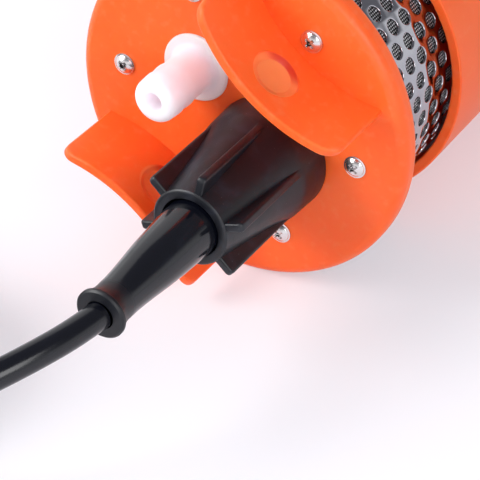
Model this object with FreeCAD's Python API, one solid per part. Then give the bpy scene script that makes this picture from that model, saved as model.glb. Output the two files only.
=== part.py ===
import FreeCAD, Part
import math
import os

# Submersible well and sump pump, lying on its side. Millimetres.
# The pump axis runs along Y. "Station" is the distance from the end cap's
# outer face, positive into the body, negative towards the outlet and cable.
V = FreeCAD.Vector
Y_DIR = V(0, 1, 0)

# ---- end cap ----
FLANGE_R = 52.0
CAP_T = 8.0
EDGE_ROUND = 3.0
SCREW_PCD_R = 37.4
SCREW_COUNT = 6
EAR_DIR = 52.3                       # direction of the ears and first screw, degrees
SPIGOT_OUT_R = 41.7
SPIGOT_IN_R = 33.0
SPIGOT_END = 10.5

# ---- lifting ears ----
EAR_FACE = 31.3                      # axis to the middle of the outer face
EAR_BOW_R = 47.5
EAR_T = 2.8
EAR_HALF_W = 26.3
EAR_H = 24.8
EAR_CORNER_R = 4.5
EAR_EDGE_R = 0.8
EAR_DISH_R = 7.2
EAR_DISH_FLOOR_R = 5.2
EAR_DISH_DEPTH = 0.9
EAR_DISH_H = 12.5

# ---- outlet nozzle ----
NOZZLE_X = -13.34
NOZZLE_Z = 10.90
NOZZLE_BORE_R = 2.73
NOZZLE_ROOT_R = 6.45
BARB_H = 0.45
BARB_PITCH = 6.8
NOZZLE_TIP = -21.0
NOZZLE_TIP_ROUND = 1.8
NOZZLE_FLANGE_R = 10.0
NOZZLE_FLANGE_T = 2.6
NOZZLE_PROUD = 0.8
NOZZLE_FILLET_R = 2.0
NOZZLE_SEAT_GAP = 0.3
TAIL_R = 8.0
TAIL_END = 27.5
RING_CORD = 2.8                      # width of every O-ring groove
TAIL_GROOVE = 23.5

# ---- cable gland, boot and cable ----
GLAND_X = 11.08
GLAND_Z = -8.73
COLLAR_R = 13.0
COLLAR_END = -11.0
SEAL_R = 9.0
SEAL_FLOOR = -1.5
NUT_FOOT_R = 17.4
NUT_SKIRT_R = 17.0
NUT_SKIRT_END = -11.0
NUT_NECK_R = 16.75
NUT_TIP_R = 11.3
NUT_TIP = -43.1
NUT_MOUTH_R = 8.7
NUT_SHOULDER = -17.0
FIN_COUNT = 6
FIN_TIP_R = 16.6
FIN_T = 2.4
FIN_DIR = 17.7
FIN_EDGE_R = 0.6
THRUST_T = 2.0
BOOT_FLANGE_R = 11.8
BOOT_ROOT_R = 8.3
BOOT_END = -85.2
BOOT_MOUTH_R = 4.05
BOOT_THROAT_R = 4.3
BOOT_WAIST_R = 5.85
BOOT_COLLAR_R = 7.1
BOOT_COLLAR_T = 1.5
BOOT_LIP = 0.5
BOOT_PIVOT = -30.0                   # station the drooping boot tilts about
BOOT_SLOPE = 1.15                    # droop of the boot, degrees
BOOT_BEND_REACH = 10.0
CABLE_R = 3.75
CABLE_BORE_R = 3.85
CABLE_START = 3.0

# ---- inlet strainer ----
SCREEN_GAP = 1.0                     # between the screen and the casing bore
SCREEN_T = 0.8
SCREEN_END = 52.0
HOLE_R = 2.6
HOLE_COLUMNS = 46
HOLE_PITCH = 6.72
HOLE_FIRST = 13.24
HOLE_DIR = 36.9
MESH_T = 0.6
POST_R = 3.6

# ---- pump head and drive ----
HEAD_R = 32.0
HEAD_START = 22.0
PLATE_START = 34.0
PLATE_END = 41.0
SHEET_END = 43.0
BARREL_IN_R = 27.5
BULKHEAD_START = 54.0
BULKHEAD_END = 68.0
CHAMBER_R = 8.3
CHAMBER_PCD_R = 17.0
CHAMBER_DEPTH = 3.0
OUTLET_ROOM_R = 11.5
OUTLET_ROOM_DEPTH = 5.0
GALLERY_IN_R = 13.0
GALLERY_OUT_R = 27.0
GALLERY_DEPTH = 6.0
PORT_WALL = 2.2
PUMP_SCREW_PCD_R = 29.7
PUMP_SCREW_R = 1.5
TILT = 3.5                           # swash angle, degrees
PIVOT = 43.0
HUB_R = 12.0
HUB_START = 47.5
HUB_END = 55.5
CAM_START = 57.0
CAM_END = 62.0
CAM_R = 8.5
CAM_BEARING_R = 8.0
JOURNAL_R = 3.9
WALL_START = 62.5
LEAD_GAP = 1.2                       # between the motor can and the leads
LEAD_BEND = 7.0
LEAD_TURN = 15.0
CONDUIT_R = 4.0
CONDUIT_END = 60.0
WIRE_R = 1.1
WIRE_OFFSET = 1.25

# ---- motor ----
SHAFT_R = 4.0
SHAFT_START = 58.5
SHAFT_END = 241.0
SEAL_HOUSING_R = 11.0
BELL_END = 75.0
BEARING_R = 11.0
BEARING_W = 7.0
CAN_R = 35.0
CAN_T = 2.5
CAN_END = 236.0
REAR_BELL_END = 244.0
CORE_R = 25.2
CORE_START = 95.0
CORE_END = 205.0
SLOT_COUNT = 10
SLOT_W = 3.0
SLOT_DEPTH = 7.0
AIR_GAP = 1.0
COMMUTATOR_R = 9.0
COMMUTATOR_START = 216.0
COMMUTATOR_END = 229.0
HOLDER_START = 217.0
HOLDER_END = 228.0
BRUSH_W = 6.0
BRUSH_L = 8.0

# ---- casing and base ----
CASING_R = 48.0
CASING_T = 3.2
CASING_START = 42.0
CASING_END = 262.0
BASE_END = 272.0
BASE_SPIGOT = 248.0
BASE_INNER = 256.0
BASE_SCREW_STATION = 259.0
BASE_SCREW_BITE = 7.0
BASE_RING_SETBACK = 2.0
HOUSING_RING_SETBACK = 5.5
GROOVE_DEPTH = 2.5
TERMINAL_W = 9.0

# ---- cable lying on the floor ----
COIL_LAYERS = 4
TURN_STEP = 7.8
COIL_INNER_TURN_R = 37.6
FLOOR_GAP = 0.35
TIE_T = 0.7
TIE_W = 9.0
PLUG_L = 44.0
PLUG_W = 19.0
PLUG_H = 14.0
PIN_R = 2.0
PIN_L = 18.0
PIN_GAP = 10.0
# Each run of the loose cable: compass heading from -Y towards -X, slope, length.
CABLE_RUNS = ((8.0, -1.0, 8.0), (18.0, -5.0, 10.0), (27.0, -9.5, 14.0),
              (39.0, -17.0, 20.0), (54.0, -28.0, 24.0), (70.0, -28.0, 25.0),
              (83.0, -13.0, 22.0), (90.0, -3.0, 16.0))

# ---- fits ----
RUN_GAP = 0.05
PART_GAP = 0.3
M4_R = 2.0
M3_R = 1.5
CAP_SCREW_HEAD_R = 3.3
BASE_SCREW_HEAD_R = 2.9
SCREW_HEAD_H = 1.65
CAP_SCREW_L = 32.0
PILOT_RUN = 2.0                      # thread hole past the screw tip

CASING_IN_R = CASING_R - CASING_T
BULKHEAD_R = CASING_IN_R - PART_GAP
SCREEN_R = CASING_IN_R - SCREEN_GAP
LEAD_R = CAN_R + WIRE_R + LEAD_GAP
BOOT_L = BOOT_PIVOT - BOOT_END
SLOPE = math.radians(BOOT_SLOPE)
FRONT = BOOT_PIVOT - BOOT_L * math.cos(SLOPE) - (BOOT_COLLAR_R - BOOT_LIP) * math.sin(SLOPE)
MID = 0.5 * (FRONT + BASE_END)
AXIS_Z = FLANGE_R
OVER = 1.0                           # how far a cutting tool passes a face


def place(x, station, z):
    """Point at a station, offset x and z from the pump axis."""
    return V(x, station - MID, AXIS_Z + z)


def polar(radius, angle):
    """Offset (x, z) at a radius and an angle from +X towards +Z."""
    a = math.radians(angle)
    return radius * math.cos(a), radius * math.sin(a)


def bar(radius, start, end, x=0.0, z=0.0):
    """Round bar parallel to the pump axis."""
    return Part.makeCylinder(radius, end - start, place(x, start, z), Y_DIR)


def sleeve(r_out, r_in, start, end, x=0.0, z=0.0):
    """Tube parallel to the pump axis."""
    return bar(r_out, start, end, x, z).cut(bar(r_in, start - OVER, end + OVER, x, z))


def turned(points, x=0.0, z=0.0):
    """Solid turned from (radius, station) points about an axis at x, z."""
    flat = [place(x + r, s, z) for r, s in points]
    face = Part.Face(Part.makePolygon(flat + flat[:1]))
    return face.revolve(place(x, 0, z), Y_DIR, 360)


def disc(radius, start, end, edge):
    """Disc with both rims rounded."""
    body = bar(radius, start, end)
    rims = [e for e in body.Edges if isinstance(e.Curve, Part.Circle)]
    return body.makeFillet(edge, rims)


def block(size_r, size_t, start, end, angle, radius):
    """Box at an angle: radial size, tangential size, centred on a radius."""
    box = Part.makeBox(size_r, end - start, size_t,
                       place(radius - size_r / 2, start, -size_t / 2))
    box.rotate(place(0, 0, 0), Y_DIR, -angle)
    return box


def merged(shapes):
    """One solid fused from several."""
    return shapes[0].fuse(shapes[1:]).removeSplitter()


def together(shapes):
    """Several separate solids kept in one file."""
    return Part.makeCompound(shapes)


def ring_angles(count, first):
    """Evenly spaced angles."""
    return [first + 360.0 * k / count for k in range(count)]


def swept(route, radius):
    """Round section swept along a wire."""
    edge = route.Edges[0]
    start = edge.valueAt(edge.FirstParameter)
    along = edge.tangentAt(edge.FirstParameter)
    section = Part.Wire(Part.makeCircle(radius, start, along))
    pipe = Part.BRepOffsetAPI.MakePipeShell(route)
    pipe.add(section)
    pipe.build()
    pipe.makeSolid()
    return pipe.shape()


def bent_wire(points, radii):
    """Straight runs joined by tangent arcs, one radius per inner corner."""
    edges = []
    here = points[0]
    for k in range(1, len(points) - 1):
        back = (points[k - 1] - points[k]).normalize()
        ahead = (points[k + 1] - points[k]).normalize()
        turn = math.pi - back.getAngle(ahead)
        reach = radii[k - 1] * math.tan(turn / 2)
        enter = points[k] + back * reach
        leave = points[k] + ahead * reach
        bisect = (back + ahead).normalize()
        centre = points[k] + bisect * (radii[k - 1] / math.cos(turn / 2))
        middle = centre - bisect * radii[k - 1]
        edges.append(Part.LineSegment(here, enter).toShape())
        edges.append(Part.Arc(enter, middle, leave).toShape())
        here = leave
    edges.append(Part.LineSegment(here, points[-1]).toShape())
    return Part.Wire(edges)


def o_ring(seat_r, wall_r, start, x=0.0, z=0.0):
    """O-ring filling a groove of the standard width."""
    mid_r = 0.5 * (seat_r + wall_r)
    cord = 0.5 * min(RING_CORD, wall_r - seat_r) - RUN_GAP
    ring = Part.makeTorus(mid_r, cord, place(x, start + RING_CORD / 2, z), Y_DIR)
    return ring


# ------------------------------------------------------------------ end cap

def ear(side):
    """One bowed lifting ear with a shallow dish in each face."""
    far = EAR_FACE + EAR_BOW_R
    shell = sleeve(EAR_BOW_R + EAR_T, EAR_BOW_R, -EAR_H, OVER, far, 0)
    tab = Part.makeBox(2 * EAR_BOW_R, EAR_H + 2 * EAR_CORNER_R, 2 * EAR_HALF_W,
                       place(EAR_FACE - 2 * EAR_T, -EAR_H, -EAR_HALF_W))
    corners = [e for e in tab.Edges
               if abs(e.tangentAt(e.FirstParameter).x) > 0.9
               and abs(e.CenterOfMass.y - (-EAR_H - MID)) < 0.1]
    tab = tab.makeFillet(EAR_CORNER_R, corners)
    keep = Part.makeBox(far - EAR_FACE + 2 * EAR_T, EAR_H + OVER, 2 * EAR_HALF_W,
                        place(EAR_FACE - 2 * EAR_T, -EAR_H, -EAR_HALF_W))
    plate = shell.common(tab).common(keep)
    rims = [e for e in plate.Edges
            if e.BoundBox.YMax < OVER / 2 - MID + 0.6
            and (e.BoundBox.YLength > 0.05 or abs(e.BoundBox.YMin + EAR_H + MID) < 0.01)
            and e.Length > 2 * EAR_T]
    sides = [e for e in plate.Edges
             if e.BoundBox.YMax > OVER / 2 - MID + 0.6 and e.BoundBox.YLength > EAR_H / 2]
    plate = plate.makeFillet(EAR_EDGE_R, rims + sides)
    plate = plate.cut(dish(EAR_FACE, -1)).cut(dish(EAR_FACE - EAR_T, 1))
    plate.rotate(place(0, 0, 0), Y_DIR, -EAR_DIR - (0 if side > 0 else 180))
    return plate


def dish(face, way):
    """Cutting tool for the round dish in an ear's face, opening away from way."""
    floor = place(face + way * EAR_DISH_DEPTH, -EAR_DISH_H, 0)
    mouth = place(face, -EAR_DISH_H, 0)
    cone = Part.makeCone(EAR_DISH_FLOOR_R, EAR_DISH_R, EAR_DISH_DEPTH, floor, V(-way, 0, 0))
    return cone.fuse(Part.makeCylinder(EAR_DISH_R, EAR_T, mouth, V(-way, 0, 0)))


def end_cap():
    body = [disc(FLANGE_R, 0, CAP_T, EDGE_ROUND),
            sleeve(SPIGOT_OUT_R, SPIGOT_IN_R, CAP_T - OVER, SPIGOT_END),
            bar(COLLAR_R, COLLAR_END, OVER, GLAND_X, GLAND_Z),
            ear(1), ear(-1)]
    cap = merged(body)
    cuts = [bar(SEAL_R, COLLAR_END - OVER, SEAL_FLOOR, GLAND_X, GLAND_Z),
            bar(CONDUIT_R + RUN_GAP, SEAL_FLOOR - OVER, SPIGOT_END, GLAND_X, GLAND_Z),
            bar(NOZZLE_FLANGE_R + NOZZLE_SEAT_GAP, -OVER, NOZZLE_FLANGE_T, NOZZLE_X, NOZZLE_Z),
            bar(TAIL_R + RUN_GAP, 0, SPIGOT_END, NOZZLE_X, NOZZLE_Z)]
    for angle in ring_angles(SCREW_COUNT, EAR_DIR):
        x, z = polar(SCREW_PCD_R, angle)
        cuts.append(bar(M4_R + RUN_GAP, -OVER, SPIGOT_END + OVER, x, z))
    return cap.cut(cuts)


def pan_screw(x, z, head_r, head_h, shank_r, length):
    """Cross-recess pan-head screw entering along the axis from station 0."""
    low = 0.3 * head_h
    dome_r = 0.84 * head_r
    crown = Part.Arc(place(x, -head_h, z), place(x + 0.62 * dome_r, -0.85 * head_h, z),
                     place(x + dome_r, -1.4 * low, z)).toShape()
    rest = [place(x + dome_r, -1.4 * low, z), place(x + dome_r + 0.1, -low, z),
            place(x + head_r, -0.8 * low, z), place(x + head_r, 0, z),
            place(x + shank_r, 0, z),
            place(x + shank_r, length, z), place(x, length, z), place(x, -head_h, z)]
    outline = Part.Wire([crown] + Part.makePolygon(rest).Edges)
    screw = Part.Face(outline).revolve(place(x, 0, z), Y_DIR, 360)
    slot_l = 0.95 * head_r
    slot_w = 0.25 * head_r
    depth = 0.75 * head_h
    for turn in (45, 135):
        slot = Part.makeBox(slot_l, depth, slot_w,
                            place(x - slot_l / 2, -head_h - 0.01, z - slot_w / 2))
        slot.rotate(place(x, 0, z), Y_DIR, turn)
        screw = screw.cut(slot)
    return screw


def end_cap_screws():
    screws = []
    for angle in ring_angles(SCREW_COUNT, EAR_DIR):
        x, z = polar(SCREW_PCD_R, angle)
        screws.append(pan_screw(x, z, CAP_SCREW_HEAD_R, SCREW_HEAD_H, M4_R, CAP_SCREW_L))
    return together(screws)


# ------------------------------------------------------------ outlet nozzle

def outlet_nozzle():
    """Barbed hose tail with a round-edged flange and a sealed spigot behind it."""
    crest = NOZZLE_ROOT_R + BARB_H
    low = -NOZZLE_PROUD
    points = [(NOZZLE_BORE_R, NOZZLE_TIP)]
    for step in range(7):
        a = math.radians(15 * step)
        points.append((NOZZLE_ROOT_R - NOZZLE_TIP_ROUND * (1 - math.sin(a)),
                       NOZZLE_TIP + NOZZLE_TIP_ROUND * (1 - math.cos(a))))
    top = NOZZLE_TIP + NOZZLE_TIP_ROUND
    for k in range(2):
        points += [(crest, top + BARB_PITCH - 1.8), (crest, top + BARB_PITCH - 0.8),
                   (NOZZLE_ROOT_R, top + BARB_PITCH - 0.3)]
        top += BARB_PITCH
    for step in range(7):
        a = math.radians(15 * step)
        points.append((NOZZLE_ROOT_R + NOZZLE_FILLET_R * (1 - math.cos(a)),
                       low - NOZZLE_FILLET_R * (1 - math.sin(a))))
    for step in range(5):
        a = math.radians(22.5 * step)
        points.append((NOZZLE_FLANGE_R - NOZZLE_PROUD * (1 - math.sin(a)),
                       low + NOZZLE_PROUD * (1 - math.cos(a))))
    points += [
               (NOZZLE_FLANGE_R, NOZZLE_FLANGE_T), (TAIL_R, NOZZLE_FLANGE_T),
               (TAIL_R, TAIL_GROOVE), (TAIL_R - 2, TAIL_GROOVE),
               (TAIL_R - 2, TAIL_GROOVE + RING_CORD), (TAIL_R, TAIL_GROOVE + RING_CORD),
               (TAIL_R, TAIL_END), (NOZZLE_BORE_R, TAIL_END)]
    return turned(points, NOZZLE_X, NOZZLE_Z)


# -------------------------------------------------------------- cable gland

def gland_nut():
    """Six-finned gland nut: skirt, tapered body and fins, bored for the boot."""
    start = -0.15
    body = turned([(0, start), (NUT_FOOT_R - 0.5, start), (NUT_FOOT_R, start - 0.5),
                   (NUT_SKIRT_R, NUT_SKIRT_END + 0.3), (NUT_NECK_R, NUT_SKIRT_END),
                   (NUT_TIP_R, NUT_TIP + 0.5),
                   (NUT_TIP_R - 0.5, NUT_TIP), (0, NUT_TIP)], GLAND_X, GLAND_Z)
    for angle in ring_angles(FIN_COUNT, FIN_DIR):
        fin = Part.makeBox(FIN_TIP_R - NUT_MOUTH_R - 1, NUT_SKIRT_END - 0.5 - NUT_TIP - 0.2,
                           FIN_T, place(GLAND_X + NUT_MOUTH_R + 1, NUT_TIP + 0.2,
                                        GLAND_Z - FIN_T / 2))
        tip_x = GLAND_X + FIN_TIP_R
        crest = [e for e in fin.Edges if abs(e.CenterOfMass.x - tip_x) < 0.01
                 and e.CenterOfMass.y < NUT_SKIRT_END - MID - FIN_T]
        fin = fin.makeFillet(FIN_EDGE_R, crest)
        fin.rotate(place(GLAND_X, 0, GLAND_Z), Y_DIR, -angle)
        body = body.fuse(fin)
    bore = turned([(0, OVER), (COLLAR_R + RUN_GAP, OVER), (COLLAR_R + RUN_GAP, NUT_SHOULDER),
                   (NUT_MOUTH_R + 0.2, NUT_SHOULDER), (NUT_MOUTH_R + 0.2, NUT_TIP + 4),
                   (NUT_MOUTH_R, NUT_TIP + 2), (NUT_MOUTH_R, NUT_TIP - OVER),
                   (0, NUT_TIP - OVER)], GLAND_X, GLAND_Z)
    return body.cut(bore).removeSplitter()


def thrust_ring():
    """Hard washer the nut pushes on."""
    back = NUT_SHOULDER + THRUST_T
    return sleeve(BOOT_FLANGE_R, NUT_MOUTH_R + 0.1, NUT_SHOULDER + 0.02, back, GLAND_X, GLAND_Z)


def gland_seal():
    """Rubber bush gripping the cable inside the collar."""
    front = COLLAR_END - 1.5
    return sleeve(SEAL_R - RUN_GAP, CABLE_BORE_R, front, SEAL_FLOOR, GLAND_X, GLAND_Z)


def cable_boot():
    """Drooping boot: flange under the nut, smooth taper, flared waist, end collar."""
    front = COLLAR_END - 1.8
    back = NUT_SHOULDER + THRUST_T + 0.3
    length = BOOT_END - NUT_TIP
    waist = NUT_TIP + 0.84 * length
    neck = BOOT_END + BOOT_COLLAR_T

    def at(radius, station):
        return place(GLAND_X + radius, station, GLAND_Z)

    side = Part.BSplineCurve()
    side.interpolate([at(BOOT_ROOT_R, NUT_TIP + 3), at(BOOT_ROOT_R - 0.06, NUT_TIP),
                      at(7.9, NUT_TIP + 0.17 * length), at(7.3, NUT_TIP + 0.4 * length),
                      at(6.3, NUT_TIP + 0.64 * length), at(BOOT_WAIST_R, waist)])
    lip_r = BOOT_COLLAR_R - 0.5 * BOOT_LIP
    flare = Part.Arc(at(BOOT_WAIST_R, waist), at(BOOT_WAIST_R + 0.25, 0.4 * waist + 0.6 * neck),
                     at(lip_r, neck))
    rest = [at(lip_r, neck), at(BOOT_COLLAR_R, neck - 0.5 * BOOT_LIP),
            at(BOOT_COLLAR_R, BOOT_END + BOOT_LIP),
            at(BOOT_COLLAR_R - BOOT_LIP, BOOT_END), at(BOOT_MOUTH_R, BOOT_END),
            at(BOOT_MOUTH_R, BOOT_END + 2), at(CABLE_BORE_R, BOOT_END + 4),
            at(CABLE_BORE_R, BOOT_PIVOT - 2), at(BOOT_THROAT_R, BOOT_PIVOT),
            at(BOOT_THROAT_R, front), at(BOOT_FLANGE_R, front), at(BOOT_FLANGE_R, back),
            at(BOOT_ROOT_R, back), at(BOOT_ROOT_R, NUT_TIP + 3)]
    outline = Part.Wire([side.toShape(), flare.toShape()] + Part.makePolygon(rest).Edges)
    boot = Part.Face(outline).revolve(at(0, 0), Y_DIR, 360)
    boot.rotate(place(GLAND_X, BOOT_PIVOT, GLAND_Z), V(1, 0, 0), BOOT_SLOPE)
    return boot


# -------------------------------------------------------------------- cable

def heading(turn, slope):
    """Unit direction for a heading from -Y towards -X and a slope."""
    a = math.radians(turn)
    b = math.radians(slope)
    return V(-math.sin(a) * math.cos(b), -math.cos(a) * math.cos(b), math.sin(b))


def cable_points():
    """Corner points of the cable: gland, bend in the boot, exit, then the loose runs."""
    bend = place(GLAND_X, BOOT_PIVOT, GLAND_Z)
    here = bend + V(0, -math.cos(SLOPE), -math.sin(SLOPE)) * BOOT_L
    points = [place(GLAND_X, CABLE_START, GLAND_Z), bend, here]
    for turn, slope, length in CABLE_RUNS:
        here = here + heading(turn, slope) * length
        points.append(here)
    end = points[-1]
    points[-1] = V(end.x, end.y, CABLE_R + FLOOR_GAP)
    return points


def cable():
    """Cable from the gland seal through the boot and down to the coil."""
    points = cable_points()
    radii = [BOOT_BEND_REACH / math.tan(SLOPE / 2)]
    for k in range(2, len(points) - 1):
        back = points[k - 1] - points[k]
        ahead = points[k + 1] - points[k]
        turn = math.pi - back.getAngle(ahead)
        run = min(back.Length, ahead.Length) if k > 2 else ahead.Length
        radii.append(0.45 * run / math.tan(turn / 2))
    route = bent_wire(points, radii)
    tube = swept(route, CABLE_R)
    print("bend radii", [round(r, 1) for r in radii])
    print("route", round(route.Length, 1), "volume", round(tube.Volume, 1),
          "section by length", round(math.pi * CABLE_R ** 2 * route.Length, 1))
    print("exit", points[2], "coil", points[-1])
    return tube


def coil_centre():
    """Middle of the coil on the floor."""
    end = cable_points()[-1]
    return V(end.x, end.y + COIL_INNER_TURN_R + TURN_STEP, 0)


def coil_sizes():
    """Inner radius, outer radius, bottom and top of the coil."""
    inner = COIL_INNER_TURN_R - CABLE_R
    outer = COIL_INNER_TURN_R + TURN_STEP + CABLE_R
    top = FLOOR_GAP + 2 * CABLE_R + (COIL_LAYERS - 1) * TURN_STEP
    return inner, outer, FLOOR_GAP, top


def coil_band(grow):
    """Ring of the coil's outer shape, grown by a wall."""
    inner, outer, bottom, top = coil_sizes()
    centre = coil_centre()
    ring = Part.makeCylinder(outer + grow, top - bottom + 2 * grow,
                             centre + V(0, 0, bottom - grow))
    hole = Part.makeCylinder(inner - grow, top - bottom + 2 * grow + 2 * OVER,
                             centre + V(0, 0, bottom - grow - OVER))
    return ring.cut(hole)


def tie_block():
    """Slice of the coil under the tie."""
    inner, outer, bottom, top = coil_sizes()
    centre = coil_centre()
    box = Part.makeBox(outer - inner + 4 * TIE_T, TIE_W, top - bottom + 4 * TIE_T,
                       centre + V(inner - 2 * TIE_T, -TIE_W / 2, bottom - 2 * TIE_T))
    box.rotate(centre, V(0, 0, 1), 20)
    return box


def cable_coil():
    """The coiled cable as one solid of its outer shape."""
    body = coil_band(0)
    waist = coil_band(-TIE_T).common(tie_block())
    rims = [e for e in body.Edges if isinstance(e.Curve, Part.Circle)]
    body = body.makeFillet(CABLE_R / 2, rims)
    return body.cut(tie_block()).fuse(waist)


def coil_tie():
    """Strap around the coil."""
    return coil_band(0).cut(coil_band(-TIE_T)).common(tie_block())


def plug_base():
    """Where the cable enters the plug, on top of the coil."""
    inner, outer, bottom, top = coil_sizes()
    centre = coil_centre()
    return V(centre.x - COIL_INNER_TURN_R, centre.y - 8.0, top + PLUG_H / 2 + FLOOR_GAP)


def cable_plug():
    """Moulded two-pole plug body with a tapered cable neck."""
    base = plug_base()
    neck_l = 10.0
    body = Part.makeBox(PLUG_W, PLUG_L - neck_l, PLUG_H,
                        base + V(-PLUG_W / 2, neck_l, -PLUG_H / 2))
    body = body.makeFillet(3.0, [e for e in body.Edges if e.BoundBox.YLength > PLUG_W])
    neck = Part.makeCone(CABLE_R + 1.2, PLUG_H / 2 - 0.6, neck_l + OVER, base, Y_DIR)
    plug = body.fuse(neck)
    for way in (-1, 1):
        plug = plug.cut(Part.makeCylinder(PIN_R + RUN_GAP, 12.0,
                                          base + V(way * PIN_GAP / 2, PLUG_L - 10, 0), Y_DIR))
    return plug.cut(Part.makeCylinder(CABLE_R, neck_l, base - V(0, OVER, 0), Y_DIR))


def plug_contacts():
    """Two round pins with rounded tips."""
    pins = []
    for way in (-1, 1):
        start = plug_base() + V(way * PIN_GAP / 2, PLUG_L - 9.9, 0)
        pin = Part.makeCylinder(PIN_R, PIN_L + 9.9, start, Y_DIR)
        tip = [e for e in pin.Edges if isinstance(e.Curve, Part.Circle)
               and e.CenterOfMass.y > start.y + PIN_L]
        pins.append(pin.makeFillet(0.9, tip))
    return together(pins)


# ------------------------------------------------------------ inlet strainer

def strainer_screen():
    """Punched stainless sleeve with staggered round holes."""
    inner_r = SCREEN_R - SCREEN_T
    tools = []
    for column, angle in enumerate(ring_angles(HOLE_COLUMNS, HOLE_DIR)):
        station = HOLE_FIRST + (HOLE_PITCH / 2 if column % 2 == 0 else 0)
        while station < SCREEN_END - HOLE_R - 1.5:
            x, z = polar(inner_r - OVER, angle)
            way = V(*[c / (inner_r - OVER) for c in (x, 0, z)])
            tools.append(Part.makeCylinder(HOLE_R, SCREEN_T + 2 * OVER,
                                           place(x, station, z), way))
            station += HOLE_PITCH
    return sleeve(SCREEN_R, inner_r, CAP_T, SCREEN_END).cut(tools)


def strainer_mesh():
    """Fine filter sleeve just inside the screen."""
    out_r = SCREEN_R - SCREEN_T - 2 * RUN_GAP
    return sleeve(out_r, out_r - MESH_T, CAP_T, SCREEN_END)


def standoff_posts():
    """Posts that carry the end cap on the bulkhead."""
    posts = []
    for angle in ring_angles(SCREW_COUNT, EAR_DIR):
        x, z = polar(SCREW_PCD_R, angle)
        post = bar(POST_R, SPIGOT_END, BULKHEAD_START, x, z)
        post = post.fuse(bar(M4_R, BULKHEAD_START - OVER, BULKHEAD_START + 8, x, z))
        posts.append(post.cut(bar(M4_R + RUN_GAP, SPIGOT_END - OVER, CAP_SCREW_L + PILOT_RUN,
                                  x, z)))
    return together(posts)


# ------------------------------------------------------------------ pump head

NOZZLE_ANGLE = math.degrees(math.atan2(NOZZLE_Z, NOZZLE_X))
NOZZLE_PCD_R = math.hypot(NOZZLE_X, NOZZLE_Z)
CHAMBER_ANGLES = ring_angles(3, NOZZLE_ANGLE - 60)


def screw_holes(pcd_r, radius, start, end, count, first):
    """Cutting tools for a circle of axial holes."""
    tools = []
    for angle in ring_angles(count, first):
        x, z = polar(pcd_r, angle)
        tools.append(bar(radius, start, end, x, z))
    return tools


def pump_head():
    """Front housing: outlet port and room in the middle, inlet gallery around."""
    port_r = TAIL_R + PORT_WALL
    floor = PLATE_START - OUTLET_ROOM_DEPTH
    body = bar(HEAD_R, HEAD_START, PLATE_START)
    gallery = sleeve(GALLERY_OUT_R, GALLERY_IN_R, PLATE_START - GALLERY_DEPTH,
                     PLATE_START + OVER)
    body = body.cut(gallery)
    for angle in ring_angles(SCREW_COUNT, EAR_DIR + 30):
        body = body.cut(block(HEAD_R, 8.0, PLATE_START - GALLERY_DEPTH, PLATE_START + OVER,
                              angle, GALLERY_OUT_R - 3 + HEAD_R / 2))
    rib = block(NOZZLE_PCD_R, 11.0, HEAD_START, PLATE_START, NOZZLE_ANGLE, NOZZLE_PCD_R / 2)
    boss = bar(port_r, HEAD_START - 4, PLATE_START, NOZZLE_X, NOZZLE_Z)
    body = merged([body, rib, boss])
    tools = [bar(TAIL_R + RUN_GAP, HEAD_START - 5, TAIL_END + 0.2, NOZZLE_X, NOZZLE_Z),
             bar(NOZZLE_BORE_R + 1.2, TAIL_END, PLATE_START - 1.5, NOZZLE_X, NOZZLE_Z),
             block(NOZZLE_PCD_R, 7.0, floor, PLATE_START - 1.5, NOZZLE_ANGLE, NOZZLE_PCD_R / 2),
             bar(OUTLET_ROOM_R, floor, PLATE_START + OVER)]
    tools += screw_holes(PUMP_SCREW_PCD_R, PUMP_SCREW_R + RUN_GAP, HEAD_START - OVER,
                         PLATE_START + OVER, SCREW_COUNT, EAR_DIR)
    return body.cut(tools)


def valve_plate():
    """Plate with three pump chambers, their inlet holes and the outlet holes."""
    tools = screw_holes(PUMP_SCREW_PCD_R, PUMP_SCREW_R + RUN_GAP, PLATE_START - OVER,
                        PLATE_END + OVER, SCREW_COUNT, EAR_DIR)
    tools.append(bar(1.5, PLATE_START - OVER, PLATE_END + OVER))
    for angle in CHAMBER_ANGLES:
        x, z = polar(CHAMBER_PCD_R, angle)
        tools.append(bar(CHAMBER_R, PLATE_END - CHAMBER_DEPTH, PLATE_END + OVER, x, z))
        tools.append(bar(1.3, PLATE_START - OVER, PLATE_END, x, z))
        out_x, out_z = polar(CHAMBER_PCD_R - CHAMBER_R + 1.1, angle)
        tools.append(bar(0.9, PLATE_START - OVER, PLATE_END, out_x, out_z))
        for side in ring_angles(4, angle + 45):
            dx, dz = polar(3.4, side)
            tools.append(bar(1.2, PLATE_START - OVER, PLATE_END, x + dx, z + dz))
    return bar(HEAD_R, PLATE_START, PLATE_END).cut(tools)


def inlet_valve(index):
    """Rubber mushroom valve of one chamber."""
    x, z = polar(CHAMBER_PCD_R, CHAMBER_ANGLES[index])
    seat = PLATE_END - CHAMBER_DEPTH
    stem = bar(1.2, PLATE_START - 1.2, seat + 0.5, x, z)
    return stem.fuse(bar(5.6, seat, seat + 0.9, x, z))


def outlet_valve():
    """Rubber mushroom valve over the outlet holes."""
    stem = bar(1.4, PLATE_START - 0.5, PLATE_END - 1.5)
    return stem.fuse(bar(OUTLET_ROOM_R - 0.6, PLATE_START - 1.0, PLATE_START))


def pump_screws():
    screws = []
    for angle in ring_angles(SCREW_COUNT, EAR_DIR):
        x, z = polar(PUMP_SCREW_PCD_R, angle)
        screw = pan_screw(x, z, 2.3, 1.8, PUMP_SCREW_R, 30.0)
        screw.translate(V(0, HEAD_START, 0))
        screws.append(screw)
    return together(screws)


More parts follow.
